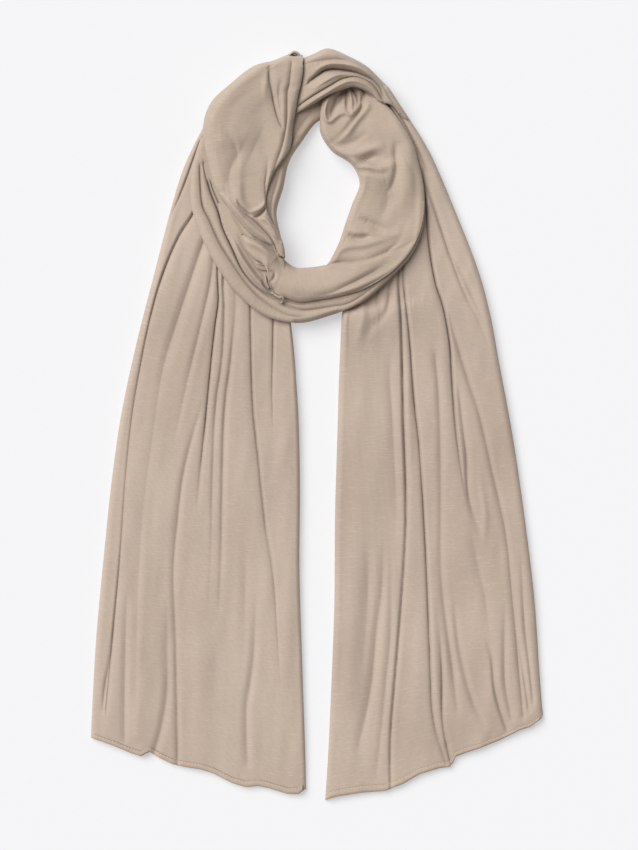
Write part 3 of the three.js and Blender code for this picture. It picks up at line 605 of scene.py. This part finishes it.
neck_under_sections = [
    Section(8, 322, 12, 284, 7),
    Section(-6, 322, -2, 277.5, 9.5),
    Section(-28, 315, -14.5, 261, 13),
    Section(-58, 300, -26.5, 242, 15.5),
    Section(-80, 280, -32, 218, 18.5),
    Section(-92, 262, -38.2, 195, 20.5),
    Section(-99, 252, -34, 171, 21),
    Section(-100, 246, -32.5, 150.5, 19),
]
neck_under_folds = [
    Fold((0, 1.5, 1.5, 0), 8, 6, 0.8, 0, [(-4, 290), (-14, 277), (-24, 262), (-30, 246)]),
    Fold((0, 1.2, 1.2, 0), 4, 4, 0.8, 0, [(-24, 262), (-18, 264), (-14, 262)]),
    Fold((0, 2, 2, 1), 5, 4, 0.7, 0, [(-33, 240), (-38, 222), (-43, 200), (-41, 178)]),
    Fold((0, 1.4, 0), 4, 4, 0.8, 0, [(-44, 232), (-38, 228), (-31, 226)]),
]
neck_under_face = cloth_face(neck_under_sections, neck_under_folds, 70, 90, rim=7, swell=0.4, seed=21)
neck_under = closed_cloth("neck_under_cloth", neck_under_face, 4, shaded_ring_cloth)
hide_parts("neck_under")
lay_down(neck_under_face)


# The outer strands of the ring: three narrow folds of the loop, which run down its left side,
# across the front over both tails, and up its right side.
ring_band_sections = [
    Section(-107.5, 264, -97, 264, 15),
    Section(-115, 238, -91, 236, 18),
    Section(-117, 207, -80, 208, 19),
    Section(-111, 182, -68, 190, 19.5),
    Section(-97, 152, -56, 168, 19.5),
    Section(-76, 122, -44, 146, 19),
    Section(-48, 99.5, -36, 126, 18),
    Section(-18, 93.5, -14, 122, 18),
    Section(10, 100, 8, 126, 19),
    Section(40, 112, 33, 132, 20.5),
    Section(66, 134, 55, 148, 20),
    Section(86, 156, 74, 166, 18.5),
    Section(95.5, 178, 82, 182, 18),
    Section(98.5, 202, 86, 203, 16),
]
ring_band_folds = [
    Fold((3, 4, 4, 4, 3.6, 3.6, 3, 2, 1), 6, 4, 0.55, -1.2,
         [(-109, 238), (-107, 204), (-100, 188), (-90, 166), (-78, 147), (-62, 125), (-47, 111), (-30, 101),
          (-15, 98.5)]),
    Fold((4, 7, 8, 8, 8, 7, 6, 4, 2, 1), 4, 5, 0.45, -1.2,
         [(-105.5, 240), (-102.5, 225), (-98, 210), (-92.4, 196.5), (-87.4, 180), (-79, 161.5), (-70.6, 143),
          (-62, 131.5), (-52, 122.5), (-38, 114.5), (-12, 110)]),
    Fold((4, 6, 5, 2), 3, 3, 0.5, 1, [(-103, 240), (-97, 218), (-91, 203), (-87, 188)]),
    Fold((2, 3, 3, 2.4, 2, 1), 4, 4, 0.6, 0,
         [(-34, 111), (-20, 106), (-10, 105), (10, 108), (30, 112), (52, 127)]),
    Fold((0, -1.2, -1.2, -0.6), 6, 6, 1, 0, [(-112, 220), (-106, 188), (-86, 148), (-60, 116)]),
]
ring_band_face = cloth_face(ring_band_sections, ring_band_folds, 84, 180, rim=5, swell=0.35, seed=31)
ring_band = closed_cloth("ring_band_cloth", ring_band_face, 3, shaded_ring_cloth)
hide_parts("ring_band")
lay_down(ring_band_face)


# The crumpled cloth at the lower left, where the left side of the ring is drawn in under the front
# roll: it is pushed together into one long roll beside the outer strands and a few short curls.
front_folds_sections = [
    Section(-92, 203, -78, 203, 18),
    Section(-87, 181, -64, 190, 19),
    Section(-78, 161.5, -46, 177, 20),
    Section(-69.5, 143.5, -36, 160, 20),
    Section(-61, 132, -33, 152, 20),
    Section(-51.5, 123.5, -32, 146, 20),
    Section(-42, 118.5, -32, 135, 19.5),
    Section(-36, 116, -31, 126, 18.5),
]
front_folds_folds = [
    Fold((0, -3, -6, -7, -7, -6, -5, -3), 4.6, 4.6, 1, 0,
         [(-82, 178), (-77.5, 168), (-72, 156), (-65, 145), (-58.5, 136), (-52, 129), (-46, 122.5),
          (-39, 118.5)]),
    Fold((1, 4, 6.5, 7, 6.5, 6.5, 6, 6.5, 5.5, 3), 2.6, 2.2, 0.6, 0,
         [(-74, 178), (-72.5, 171), (-69.5, 163), (-64, 154.5), (-60.5, 149.5), (-56.5, 143), (-51, 137.5),
          (-49.8, 129), (-45.5, 123.5), (-39, 120.5)]),
    Fold((-1, -4, -4.6, -3.4), 1.9, 1.9, 1, 0, [(-62, 154), (-58.5, 147), (-53, 143.2), (-46, 142)]),
    Fold((0, -3, -3.4, -3), 2, 2, 1, 0, [(-58, 151), (-54.5, 148), (-50, 147), (-45, 146.5)]),
    Fold((0, 2, 2.4, 2), 1.6, 1.6, 0.8, 0, [(-60, 151), (-56, 146.4), (-51, 145), (-46, 144.4)]),
    Fold((0, -3, -4, -3), 2, 2, 1, 0, [(-52, 139.5), (-48.5, 136), (-47.5, 131), (-45, 126)]),
    Fold((3, 6, 8, 7, 3), 4, 4, 0.8, 0, [(-80, 194), (-74, 184), (-69.5, 176), (-63, 171), (-54, 168.5)]),
]
front_folds_face = cloth_face(front_folds_sections, front_folds_folds, 90, 130, rim=3, swell=0.3, seed=61)
front_folds = closed_cloth("front_folds_cloth", front_folds_face, 4, shaded_ring_cloth)
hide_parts("front_folds")
lay_down(front_folds_face)


# The front of the ring. The cloth is gathered under the back of the neck, comes down the right
# side as a broad soft panel, and turns across the front as a full roll.
front_turn_sections = [
    Section(8, 313, 46, 312, 9),
    Section(4, 298, 58, 299, 15),
    Section(2, 283, 70, 286, 19),
    Section(2.5, 268, 79.5, 272, 21),
    Section(13, 252, 88, 256, 20.5),
    Section(31, 239.5, 93, 238, 19.5),
    Section(38.3, 222, 97, 220, 19),
    Section(31.5, 203, 98, 203, 19),
    Section(25.5, 186, 96.5, 188, 19.5),
    Section(19.5, 168, 92, 172, 20.5),
    Section(12.5, 153.5, 83, 156, 21.5),
    Section(8.5, 147.4, 66, 138.5, 22),
    Section(4, 146.3, 42, 124, 21.5),
    Section(-4, 145, 20, 117.7, 21.5),
    Section(-13, 144.3, 2, 114.5, 21.5),
    Section(-21, 144.6, -16, 112.3, 21.5),
    Section(-29, 149.5, -31, 116.5, 22),
    Section(-35, 154, -40, 120.5, 23),
    Section(-41, 158.5, -45, 129, 24.5),
    Section(-47, 162.5, -46.5, 140, 26),
    Section(-53.5, 167, -51, 147.5, 25.5),
    Section(-61, 170.5, -58.5, 152, 25),
    Section(-70, 175, -66, 160, 24),
]
front_turn_folds = [
    Fold((8, 7, 6, 5, 1), 6, 6, 0.9, 0, [(27, 312), (21, 303), (16, 295), (13, 288), (12, 283)]),
    Fold((9, 8, 5, 4, 1), 2, 2.4, 0.6, 0, [(27, 314), (26.4, 308), (25.8, 302), (26.2, 294), (26.7, 288)]),
    Fold((0, 3, 3, 0), 2, 2, 0.7, 0, [(22, 306), (17, 301), (15, 294), (16.5, 289)]),
    Fold((-1, -2.6, -3.4, -3.6, -3.6, -3.4, -3, -2.6, -2.4, -2), 2.6, 2.6, 1, 0,
         [(22, 307), (11, 301), (6.6, 291.5), (6.8, 282), (11, 278.8), (19, 285), (25.5, 287), (30, 285),
          (37, 292), (43, 299)]),
    Fold((0, -3, -3, -1), 2, 2, 1, 0, [(28.5, 310), (30, 303), (31, 296), (31, 288)]),
    Fold((6, 4, 2.4, 0.6), 2.6, 2.6, 0.9, 0, [(28, 312), (35, 304), (37, 297), (36, 289)]),
    Fold((6, 6, 5, 4, 3, 1), 3.6, 3.4, 0.65, 0,
         [(43, 306), (40.5, 298.5), (38.6, 289.5), (29.5, 276.5), (18.5, 263.8), (9, 258)]),
    Fold((0, -3, -3.6, -3, 0), 4.4, 4.4, 1, 0, [(47, 300), (45, 291), (35, 279), (26, 267), (14, 260)]),
    Fold((6, 5, 3, 0), 2.4, 2.4, 0.7, 0, [(34, 314), (40, 309), (44, 306), (52, 301)]),
    Fold((1, 4.4, 4.6, 3.6, 0), 4, 7, 0.8, 0, [(26, 243), (33, 238), (43, 242.5), (51, 247), (60, 246)]),
    Fold((-1, -3.4, -3.2, 0), 7, 6, 1, 0, [(20, 252), (33, 249), (48, 253), (62, 257)]),
    Fold((0, 2.4, 2, 0), 5, 6, 0.9, 0, [(13, 258), (24, 257), (36, 262), (46, 270)]),
    Fold((0, 4, 4, 2.4, 0), 4, 7, 0.8, 0, [(33, 239), (38, 233.5), (48, 232), (58, 230), (68, 234)]),
    Fold((-5, -8, -7, -3, 0), 36, 7, 1, 0, [(33, 239), (46, 236), (58, 235), (70, 239), (80, 245)]),
    Fold((0, 2.8, 3, 2.4, 0), 5, 9, 0.9, 0, [(72, 262), (71, 250), (72, 236), (68, 220), (60, 210)]),
    Fold((0, -2.4, -2.8, -2.4, 0), 9, 9, 1, 0, [(78, 258), (80, 240), (81, 222), (79, 205), (76, 190)]),
    Fold((0, -1.2, -1.2, 0), 6, 6, 1, 0, [(82, 262), (85, 240), (86, 215), (84, 195)]),
    Fold((0, 1.2, 0.8, 0), 9, 9, 1, 0, [(60, 222), (64, 210), (62, 198), (55, 190)]),
    Fold((0, 5, 6, 6, 5, 2, 0), 20, 20, 1.1, 0,
         [(-36, 156), (-29, 150), (-18, 146), (-6, 146), (4, 147.5), (10, 150), (18, 156)]),
    Fold((0, 3.4, 3.6, 2, 0), 4, 7, 1.1, 0, [(37, 190.5), (48, 185), (60, 180), (74, 177)]),
    Fold((0, 2.4, 2.4, 0), 3, 5, 1.1, 0, [(34, 182), (44, 178.5), (54, 177.5), (62, 175)]),
    Fold((1, 3.6, 3.4, 0), 4, 6, 1.1, 0, [(24, 175), (34, 171), (42, 171.5), (50, 175)]),
    Fold((-1, -2.8, -2.8, -1, 0), 5, 6, 1, 0, [(22, 179), (34, 177), (46, 177), (60, 176), (78, 178)]),
    Fold((-1, -2.6, -2.6, -1.4, 0), 5, 6, 1, 0, [(14, 157), (26, 163), (45, 166), (62, 171), (82, 177)]),
    Fold((2, 1.6, 0.6), 3, 3, 0.8, 0, [(26, 184), (25.5, 172), (20, 161)]),
    Fold((6, 5, 3.6, 2.4, 3.4, 3.8, 2), 4.5, 7, 0.75, -1.2,
         [(6, 146.5), (18, 149), (31, 149.5), (45, 151.5), (60, 157), (74, 162.5), (88, 169)]),
    Fold((0, 1.6, 0), 3, 3, 0.9, 0, [(45, 152), (55, 155), (68, 160)]),
    Fold((0, 0.8, 1.2, 1.8, 2, 1.4, 0), 6, 5, 1, 0,
         [(-8, 117.5), (4, 119), (15, 122), (26, 127.5), (38.5, 133.5), (52, 141), (68, 150)]),
    Fold((0, -1.6, -2, -1.6, 0), 4.4, 4.4, 1, 0, [(8, 117.5), (24, 122), (40, 127.5), (58, 137), (80, 151)]),
    Fold((-3, -6, -6.5, -6.5, -6, -5, -2), 18, 22, 1, 0,
         [(-36, 132), (-22, 126), (-6, 124.5), (11, 127), (26, 132.5), (38.6, 140), (54, 148.5)]),
    Fold((0, -1, -1.2, -0.8), 5, 5, 1, 0, [(70, 143), (84, 158), (92, 176), (94, 205)]),
    Fold((0, 2.4, 3, 2, 0), 3, 4, 0.8, 0, [(-48, 147), (-44, 142), (-40, 139), (-41, 134), (-46, 130)]),
    Fold((-1, -3, -3.4, -2.4, 0), 6, 5, 1, 0, [(-68, 170), (-60, 167), (-52, 163), (-43, 156), (-32, 147)]),
]
front_turn_face = cloth_face(front_turn_sections, front_turn_folds, 120, 210, rim=(6, 5),
                             swell=0.9, seed=41, ends=(0, 6))
front_turn = closed_cloth("front_turn_cloth", front_turn_face, 6, shaded_ring_cloth)
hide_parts("front_right", "front_roll")
lay_down(front_turn_face)

Roll = namedtuple("Roll", "width crest route")


def roll_face(roll, seed, places=14, columns=26, rows=60):
    """The upper face of a narrow roll of cloth: its width, given at even steps along the route,
    is laid off square to the route on both sides."""
    way = curve(roll.route, places)
    ahead = np.gradient(way, axis=0)
    ahead = ahead / np.linalg.norm(ahead, axis=1, keepdims=True)
    widths = np.interp(np.linspace(0, 1, len(way)), np.linspace(0, 1, len(roll.width)), roll.width)
    aside = np.stack([ahead[:, 1], -ahead[:, 0]], axis=1) * widths[:, None] / 2
    sections = np.hstack([way - aside, way + aside, np.full((len(way), 1), roll.crest)])
    return cloth_face(sections, [], columns, rows, max(roll.width) / 2, swell=0.2, seed=seed, ends=(3, 3))


front_curl = Roll((1.4, 1.8, 2, 1.8, 1.4), 21.5,
                  [(-44, 122.5), (-40.5, 119.6), (-36.7, 117.2), (-33.2, 117), (-32.2, 114.5), (-34, 111)])
front_hook = closed_cloth("front_hook", roll_face(front_curl, seed=84), 1, shaded_ring_cloth,
                          under_columns=6, thickness=0.5)


# The strands over the back of the neck, where the right tail crosses the gather and twists into
# the left side of the ring: two full folds with a deep gap, and a thin one at the back.
neck_over_sections = [
    Section(82, 280.6, 81.4, 280.1, 12.4),
    Section(79.5, 286, 76, 283.6, 14),
    Section(74, 296, 68.5, 292.5, 18),
    Section(65, 309.5, 56.5, 297, 20.5),
    Section(57, 318, 49.5, 303.5, 21.5),
    Section(45, 329.5, 40.5, 308, 23),
    Section(30, 338, 30, 310, 24),
    Section(10, 346, 12, 303.5, 24),
    Section(-4, 341, -1, 296.5, 22.5),
    Section(-14, 336.5, -12, 290, 20),
    Section(-24, 330, -22, 284.5, 16.5),
]
neck_over_folds = [
    Fold((0.6, 1.6, 2.4, 2.6, 2, 1.2, 0.8, 0.8, 0.6), 4, 3, 0.7, -0.8,
         [(84, 272), (74, 289), (64, 304.3), (57, 315.4), (48.5, 323.9), (38.3, 330.7), (30, 334.7),
          (14.4, 335.9), (-1, 334.1), (-13, 331.5)]),
    Fold((0, 3, 5, 6, 8, 11, 12, 11, 8, 4), 3, 8, 0.85, -1.2,
         [(66, 290), (61.3, 299.2), (57.9, 309.4), (50.2, 317.6), (41.7, 322.2), (33, 325.6), (23, 327.8),
          (14, 328.6), (5.9, 327), (-1, 322), (-8, 316)]),
    Fold((0, 3, 4, 4.4, 4, 3.4, 4, 5, 5, 4, 3), 2.4, 2.6, 0.6, -0.8,
         [(66, 286), (60.4, 297), (56, 306), (50, 313.5), (41.7, 318.5), (33, 320.4), (21.3, 318),
          (11, 312.2), (-1, 305.2), (-9.4, 299.6), (-18, 293.5)]),
    Fold((0, -2, -2.4, -2.4, -2.4, -2.2, 0), 2.6, 2.6, 1, 0,
         [(60, 303), (52, 314), (40, 320.6), (29, 323), (18, 321.4), (8, 316.5), (-6, 307.5)]),
    Fold((0, -1.6, -2, -2, -1.6, 0), 2.6, 2.6, 1, 0,
         [(56, 301), (49, 309.5), (40, 314.2), (30, 315.8), (19, 312), (6, 304), (-10, 294)]),
    Fold((0, -1.6, -2.4, -2.6, -2, 0), 2.4, 2.4, 1, 0,
         [(60, 310), (48, 321.6), (36, 328.4), (22, 331.6), (8, 331.2), (-4, 325)]),
    Fold((0, -1.6, -2, -1.6, 0), 6, 6, 1, 0, [(52, 322), (34, 333), (16, 340), (0, 338), (-12, 334)]),
]
neck_over_face = cloth_face(neck_over_sections, neck_over_folds, 96, 130, rim=(5, 4),
                            swell=0.35, seed=51, ends=(12, 0))
neck_over = closed_cloth("neck_over_cloth", neck_over_face, 5, shaded_ring_cloth)
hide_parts("neck_over")
lay_down(neck_over_face)


# The left side of the ring, a broad panel that comes out of the twist behind the neck, lies over
# the strands, and ends in a rolled edge which runs down to the front.
front_left_sections = [
    Section(-27, 341, -15, 340, 18),
    Section(-41, 335, -13.5, 328, 24),
    Section(-60, 329.5, -15, 315, 24.5),
    Section(-80, 314, -18, 302, 23.5),
    Section(-98, 297, -20, 290, 22.5),
    Section(-105.5, 276, -23, 274, 22.5),
    Section(-103, 250, -26, 253, 23),
    Section(-97.5, 226, -40, 232, 24.5),
    Section(-91, 211.5, -47, 212, 25),
    Section(-82.5, 199.5, -47, 198, 26),
    Section(-74, 188.5, -42.5, 187, 26.5),
    Section(-63.5, 177, -37, 178, 27),
    Section(-53, 169.5, -33, 169, 27),
    Section(-43.5, 164.5, -30.8, 161, 27),
    Section(-36.5, 155.5, -30, 153.5, 27),
]
front_left_folds = [
    Fold((2, 3, 3.6, 4, 3.6, 3, 0), 7, 8, 0.7, -2,
         [(-45, 330), (-45, 318), (-43, 307), (-41, 295), (-38, 284), (-34, 275), (-28, 270)]),
    Fold((2, 3, 3.6, 3.6, 3.4, 3, 2, 0), 5, 3.4, 0.6, 0.8,
         [(-24, 333), (-26, 314), (-28, 305), (-28.5, 280), (-32, 259), (-37, 244), (-41, 231), (-44, 222)]),
    Fold((-2, -5, -8, -9, -8.4, -6, -3), 12, 56, 1, 0,
         [(-52, 323), (-70, 311), (-86, 296), (-95, 278), (-94.5, 258), (-90, 238), (-86, 222)]),
    Fold((0, -1.2, -1.6, -1.2, 0), 3, 3, 1, 0, [(-48, 328), (-48.5, 318), (-49, 309), (-48, 300)]),
    Fold((0, -3, -3.6, -3, 0), 22, 26, 1, 0, [(-96, 262), (-86, 263), (-72, 262), (-58, 256)]),
    Fold((0, 1.4, 1.8, 1.8, 1.2, 0), 9, 9, 1, 0,
         [(-64, 268), (-72, 250), (-79, 238), (-82, 226), (-80, 214), (-76, 204)]),
    Fold((0, -1, -2.4, -3.4, -2.4, -1), 20, 7, 1, 0,
         [(-68, 250), (-72, 238), (-72.6, 222), (-72, 208), (-68, 199.5), (-63, 195)]),
    Fold((0, 2.6, 3.4, 3, 0), 2.6, 2.4, 0.7, 0,
         [(-74.4, 208), (-72.6, 202.5), (-68, 197.5), (-63.5, 193.5), (-60, 191)]),
    Fold((0, 4, 6, 4, 0), 3, 2.4, 0.8, 0,
         [(-60, 190.5), (-56, 191.5), (-52.6, 194), (-49, 198), (-47, 203)]),
    Fold((0, -2, -2.6, -2, 0), 3, 3, 1, 0,
         [(-65, 194.5), (-58, 196.6), (-52.5, 199.4), (-48.5, 204), (-48, 212)]),
    Fold((0, 1.4, 1.8, 2, 3, 4, 3, 2), 7, 3, 1, 0,
         [(-15, 337), (-14, 322), (-15.5, 310), (-18, 298), (-20.5, 286), (-23, 270), (-25.5, 256),
          (-29, 246)]),
    Fold((0, 1.6, 2.4, 2, 0), 6, 4, 0.8, -1,
         [(-46, 246), (-47, 232), (-48.5, 222), (-48, 210), (-47.4, 200)]),
    Fold((0, 2.4, 4, 4.4, 4.4, 4, 3), 3, 3.4, 0.7, -1,
         [(-74, 201), (-66, 193), (-58, 186.4), (-50, 178.4), (-44, 171.5), (-39.5, 163), (-36.5, 154)]),
    Fold((-1.5, -3.4, -4, -4, -3.6, -2.6), 5, 4.4, 1, 0,
         [(-88, 210), (-76, 197), (-64, 184.6), (-52, 174.4), (-43.6, 168), (-39, 158)]),
    Fold((0, -3, -3.4, -2, 0), 3.4, 3.4, 1, 0,
         [(-54, 190), (-48.6, 188.6), (-43.5, 183), (-39.6, 175), (-37, 166)]),
    Fold((0, 1.6, 1.6, 0), 2.4, 2.4, 0.8, 0, [(-42, 174), (-39, 171), (-36, 169), (-33, 167.5)]),
    Fold((0, 1.8, 1.6, 0), 6, 6, 1, 0, [(-84, 268), (-76, 256), (-74, 246), (-78, 232)]),
    Fold((0, 1.6, 1.4, 0), 5, 5, 0.9, 0, [(-33, 320), (-36, 306), (-35, 292), (-33, 282)]),
]
front_left_face = cloth_face(front_left_sections, front_left_folds, 120, 190, rim=(7, 4),
                             swell=1.1, seed=71, ends=(5, 7))
front_left = closed_cloth("front_left_cloth", front_left_face, 7, shaded_ring_cloth)
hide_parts("front_left")

top_curl = Roll((2, 2.6, 2.8, 2.6, 2), 15,
                [(-27.5, 338), (-25, 341), (-21.7, 342.6), (-18.5, 341.2), (-16.3, 338)])
top_hook = closed_cloth("top_hook", roll_face(top_curl, seed=91), 1, shaded_ring_cloth,
                        under_columns=6, thickness=0.6)


# The hems, turned over to the back and sewn with one row of small stitches. Each is a flat band
# along the end of its tail, a little proud of it, with its stitches along the upper edge.
hem_band, hem_lift, hem_puff, hem_rows, side_columns = 7.0, 0.8, 1.1, 14, 6
stitch_length, stitch_gap, stitch_width, stitch_rise, stitch_sides = 2.0, 1.1, 0.42, 0.25, 8
hem_cloth = jersey("hem_jersey", (0.56, 0.44, 0.35), (0.47, 0.36, 0.28))
thread, thread_shader = new_material("sewing_thread")
thread_shader.inputs["Base Color"].default_value = (0.66, 0.56, 0.45, 1)
thread_shader.inputs["Roughness"].default_value = 0.7


def hem_face(face):
    """The last hem_band of a tail's face, short of its sides, on rows half a millimetre apart. It
    is lifted off the cloth by hem_lift + hem_puff * sin(half turn * part of the way down) ** 0.5,
    and has a line of painted shade along its upper edge."""
    line = face[-4:, side_columns:-side_columns]
    depth = np.linalg.norm(np.diff(line, axis=0), axis=2).sum(axis=0)[None, :, None]
    part = np.linspace(0, 1, hem_rows)[:, None, None]
    place = 3 - 3 * np.clip(hem_band / depth, 0, 1) * (1 - part)
    i = np.minimum(place.astype(int), 2)
    columns = np.arange(line.shape[1])[None, :, None]
    low, high = line[i[..., 0], columns[..., 0]], line[i[..., 0] + 1, columns[..., 0]]
    band = low + (high - low) * (place - i)
    puff = np.sin(np.pi * np.clip(part * 1.1, 0, 1)) ** 0.5
    band[..., 2] += (hem_lift + hem_puff * puff)[..., 0]
    # Painted shade: a dark line over the top sixth of the band, on top of half the crease shade of the cloth
    # beneath.
    band[..., 3] = np.maximum(band[..., 3] * 0.5, np.clip(1 - 6 * part[..., 0], 0, 1))
    return band


def stitch_row(name, band):
    """Stitches along the upper edge of a hem: each is a spindle of stitch_sides corners round
    its middle, drawn out to a point at each end, and set along the band at even steps."""
    row = band[2, :, :3]
    reached = np.concatenate([[0], np.cumsum(np.linalg.norm(np.diff(row, axis=0), axis=1))])
    starts = np.arange(2, reached[-1] - 4, stitch_length + stitch_gap)
    ends = [np.stack([np.interp(starts + d, reached, row[:, k]) for k in range(3)], axis=1)
            for d in (0, stitch_length)]
    ahead = (ends[1] - ends[0]) / stitch_length
    aside = np.cross(ahead, [0, 0, 1])
    turn = np.linspace(0, 2 * np.pi, stitch_sides, endpoint=False)
    ring = (np.cos(turn)[None, :, None] * aside[:, None]
            + np.sin(turn)[None, :, None] * np.array([0, 0, 1.0]))
    middle = (ends[0] + ends[1])[:, None] / 2 + ring * stitch_width
    points = np.concatenate([ends[0][:, None], middle, ends[1][:, None]], axis=1)
    points = points + np.array([0, 0, stitch_rise]) + centre_shift
    corner = np.arange(stitch_sides)
    following = (corner + 1) % stitch_sides
    caps = np.concatenate([np.stack([0 * corner, 1 + following, 1 + corner], axis=1),
                           np.stack([0 * corner + stitch_sides + 1, 1 + corner, 1 + following], axis=1)])
    faces = (caps[None] + (stitch_sides + 2) * np.arange(len(starts))[:, None, None]).reshape(-1, 3)
    mesh = bpy.data.meshes.new(name)
    mesh.from_pydata((points * mm).reshape(-1, 3), [], faces)
    mesh.materials.append(thread)
    stitches = put(name, mesh)
    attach(stitches, "root")
    return stitches


for side, tail, face, cut in (("left", left_tail, left_tail_face, (0.36, 0.53)),
                              ("right", right_tail, right_tail_face, (0.30, 0.62))):
    band = hem_face(face)
    hem = grid_object(side + "_hem_band", band, hem_cloth)
    give_thickness(hem, 0.7)
    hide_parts(side + "_hem")
    stitches = stitch_row(side + "_hem_stitches", band)
